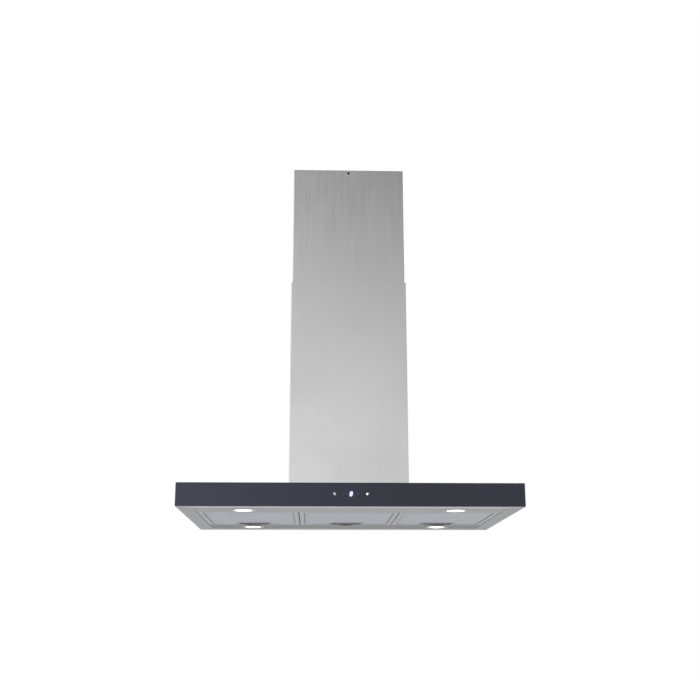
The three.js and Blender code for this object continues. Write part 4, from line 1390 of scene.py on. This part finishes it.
build_collar()
flap_aluminium = dull_aluminium("flap_aluminium", (0.48, 0.49, 0.50), (0.62, 0.63, 0.64))
for side in ("front", "rear"):
    refine(f"damper_flap_{side}", f"damper_{side}", flap_aluminium, 0.0001, 0.0, 35)

# ---- Wiring ------------------------------------------------------------------------------------
# A black junction box on the blower box's wall, the motor's run capacitor, the gland of the supply
# cable, and the grey cable from the touch board. The board is green with a black display on it.

wiring_plastic = moulded_plastic("wiring_plastic", (0.020, 0.020, 0.022), (0.032, 0.032, 0.035), 0.42)
refine("junction_box", "hood", wiring_plastic, 0.0005)
refine("junction_lid", "hood", wiring_plastic, 0.0006)


def build_gland():
    """The cable gland: a ribbed nut with a tapered mouth, over the hole in the box's top."""
    low, high, centre, wide = round_box("supply_gland")
    bore = 0.004
    neck = wide * 0.7
    top = high.z
    gland = bmesh.new()
    turned_ring(gland, centre, [
        (bore, low.z), (neck - 0.0005, low.z), (neck, low.z + 0.0005), (neck, top - 0.0127),
        (wide - 0.0005, top - 0.0127), (wide, top - 0.0122), (wide, top - 0.0055),
        (wide - 0.0008, top - 0.0048), (wide * 0.75, top - 0.0004), (neck, top),
        (bore + 0.0008, top), (bore, top - 0.0008),
    ], 48)
    stand_round(gland, centre, 12, (wide - 0.0006, 0, top - 0.0088), (0.0012, 0.0018, 0.0060))
    finish_piece(
        "cable_gland", gland, "hood", wiring_plastic, ["supply_gland"], smooth=35
    )


build_gland()


def build_capacitor():
    """The capacitor: a pale plastic can with a rounded foot and two blade terminals."""
    low, high, centre, radius = round_box("capacitor")
    top = high.z - 0.007
    can = bmesh.new()
    turned_ring(can, centre, [
        (0, low.z), (radius - 0.0025, low.z), (radius - 0.0007, low.z + 0.0007),
        (radius, low.z + 0.0025), (radius, top - 0.0010), (radius - 0.0010, top),
        (radius - 0.0030, top), (radius - 0.0030, top - 0.0010), (0, top - 0.0010),
    ], 48)
    shell = moulded_plastic("capacitor_plastic", (0.55, 0.55, 0.52), (0.64, 0.64, 0.61), 0.40)
    finish_piece("capacitor_can", can, "hood", shell, ["capacitor"], smooth=35)
    blades = bmesh.new()
    for side in (-1, 1):
        add_block(
            blades, (centre[0] + side * 0.006 - 0.0004, centre[1] - 0.00315, top - 0.0012),
            (centre[0] + side * 0.006 + 0.0004, centre[1] + 0.00315, high.z), 0.0002,
        )
    finish_piece("capacitor_terminals", blades, "hood", spring_steel)


build_capacitor()


def solder_mask():
    """A green circuit board with copper tracks just visible under the mask."""
    material, tree, shader = shader_material("solder_mask", (0.02, 0.10, 0.05), 0.0, 0.28)
    place = object_space(tree)
    track = calculate(tree, "GREATER_THAN", noise(tree, place, 320.0, 0.0), 0.56)
    set_colour(tree, shader, blend_colours(tree, track, (0.012, 0.075, 0.035), (0.030, 0.150, 0.060)))
    return material


def build_controls():
    """The touch board with its pads and chips, the display on it, and the cable's grey sheath."""
    refine("control_board", "hood", solder_mask(), 0.0002)
    display = moulded_plastic("display_plastic", (0.010, 0.010, 0.012), (0.016, 0.016, 0.018), 0.25)
    refine("display_module", "hood", display, 0.0003)
    low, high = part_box("control_board")
    chips = bmesh.new()
    layout = random.Random(7)
    for slot_number in range(9):
        x = low.x + 0.030 + slot_number * 0.0105
        z = layout.uniform(low.z + 0.006, high.z - 0.006)
        wide = layout.choice((0.0015, 0.0025, 0.0035))
        tall = wide * 0.6
        add_block(chips, (x - wide, high.y, z - tall), (x + wide, high.y + 0.0012, z + tall), 0.0002)
    finish_piece("touch_board_chips", chips, "hood", display)
    sheath = moulded_plastic("cable_sheath", (0.10, 0.105, 0.11), (0.14, 0.145, 0.15), 0.55)
    refine("control_cable", "hood", sheath, 0.0001, 0.0, 60)


build_controls()
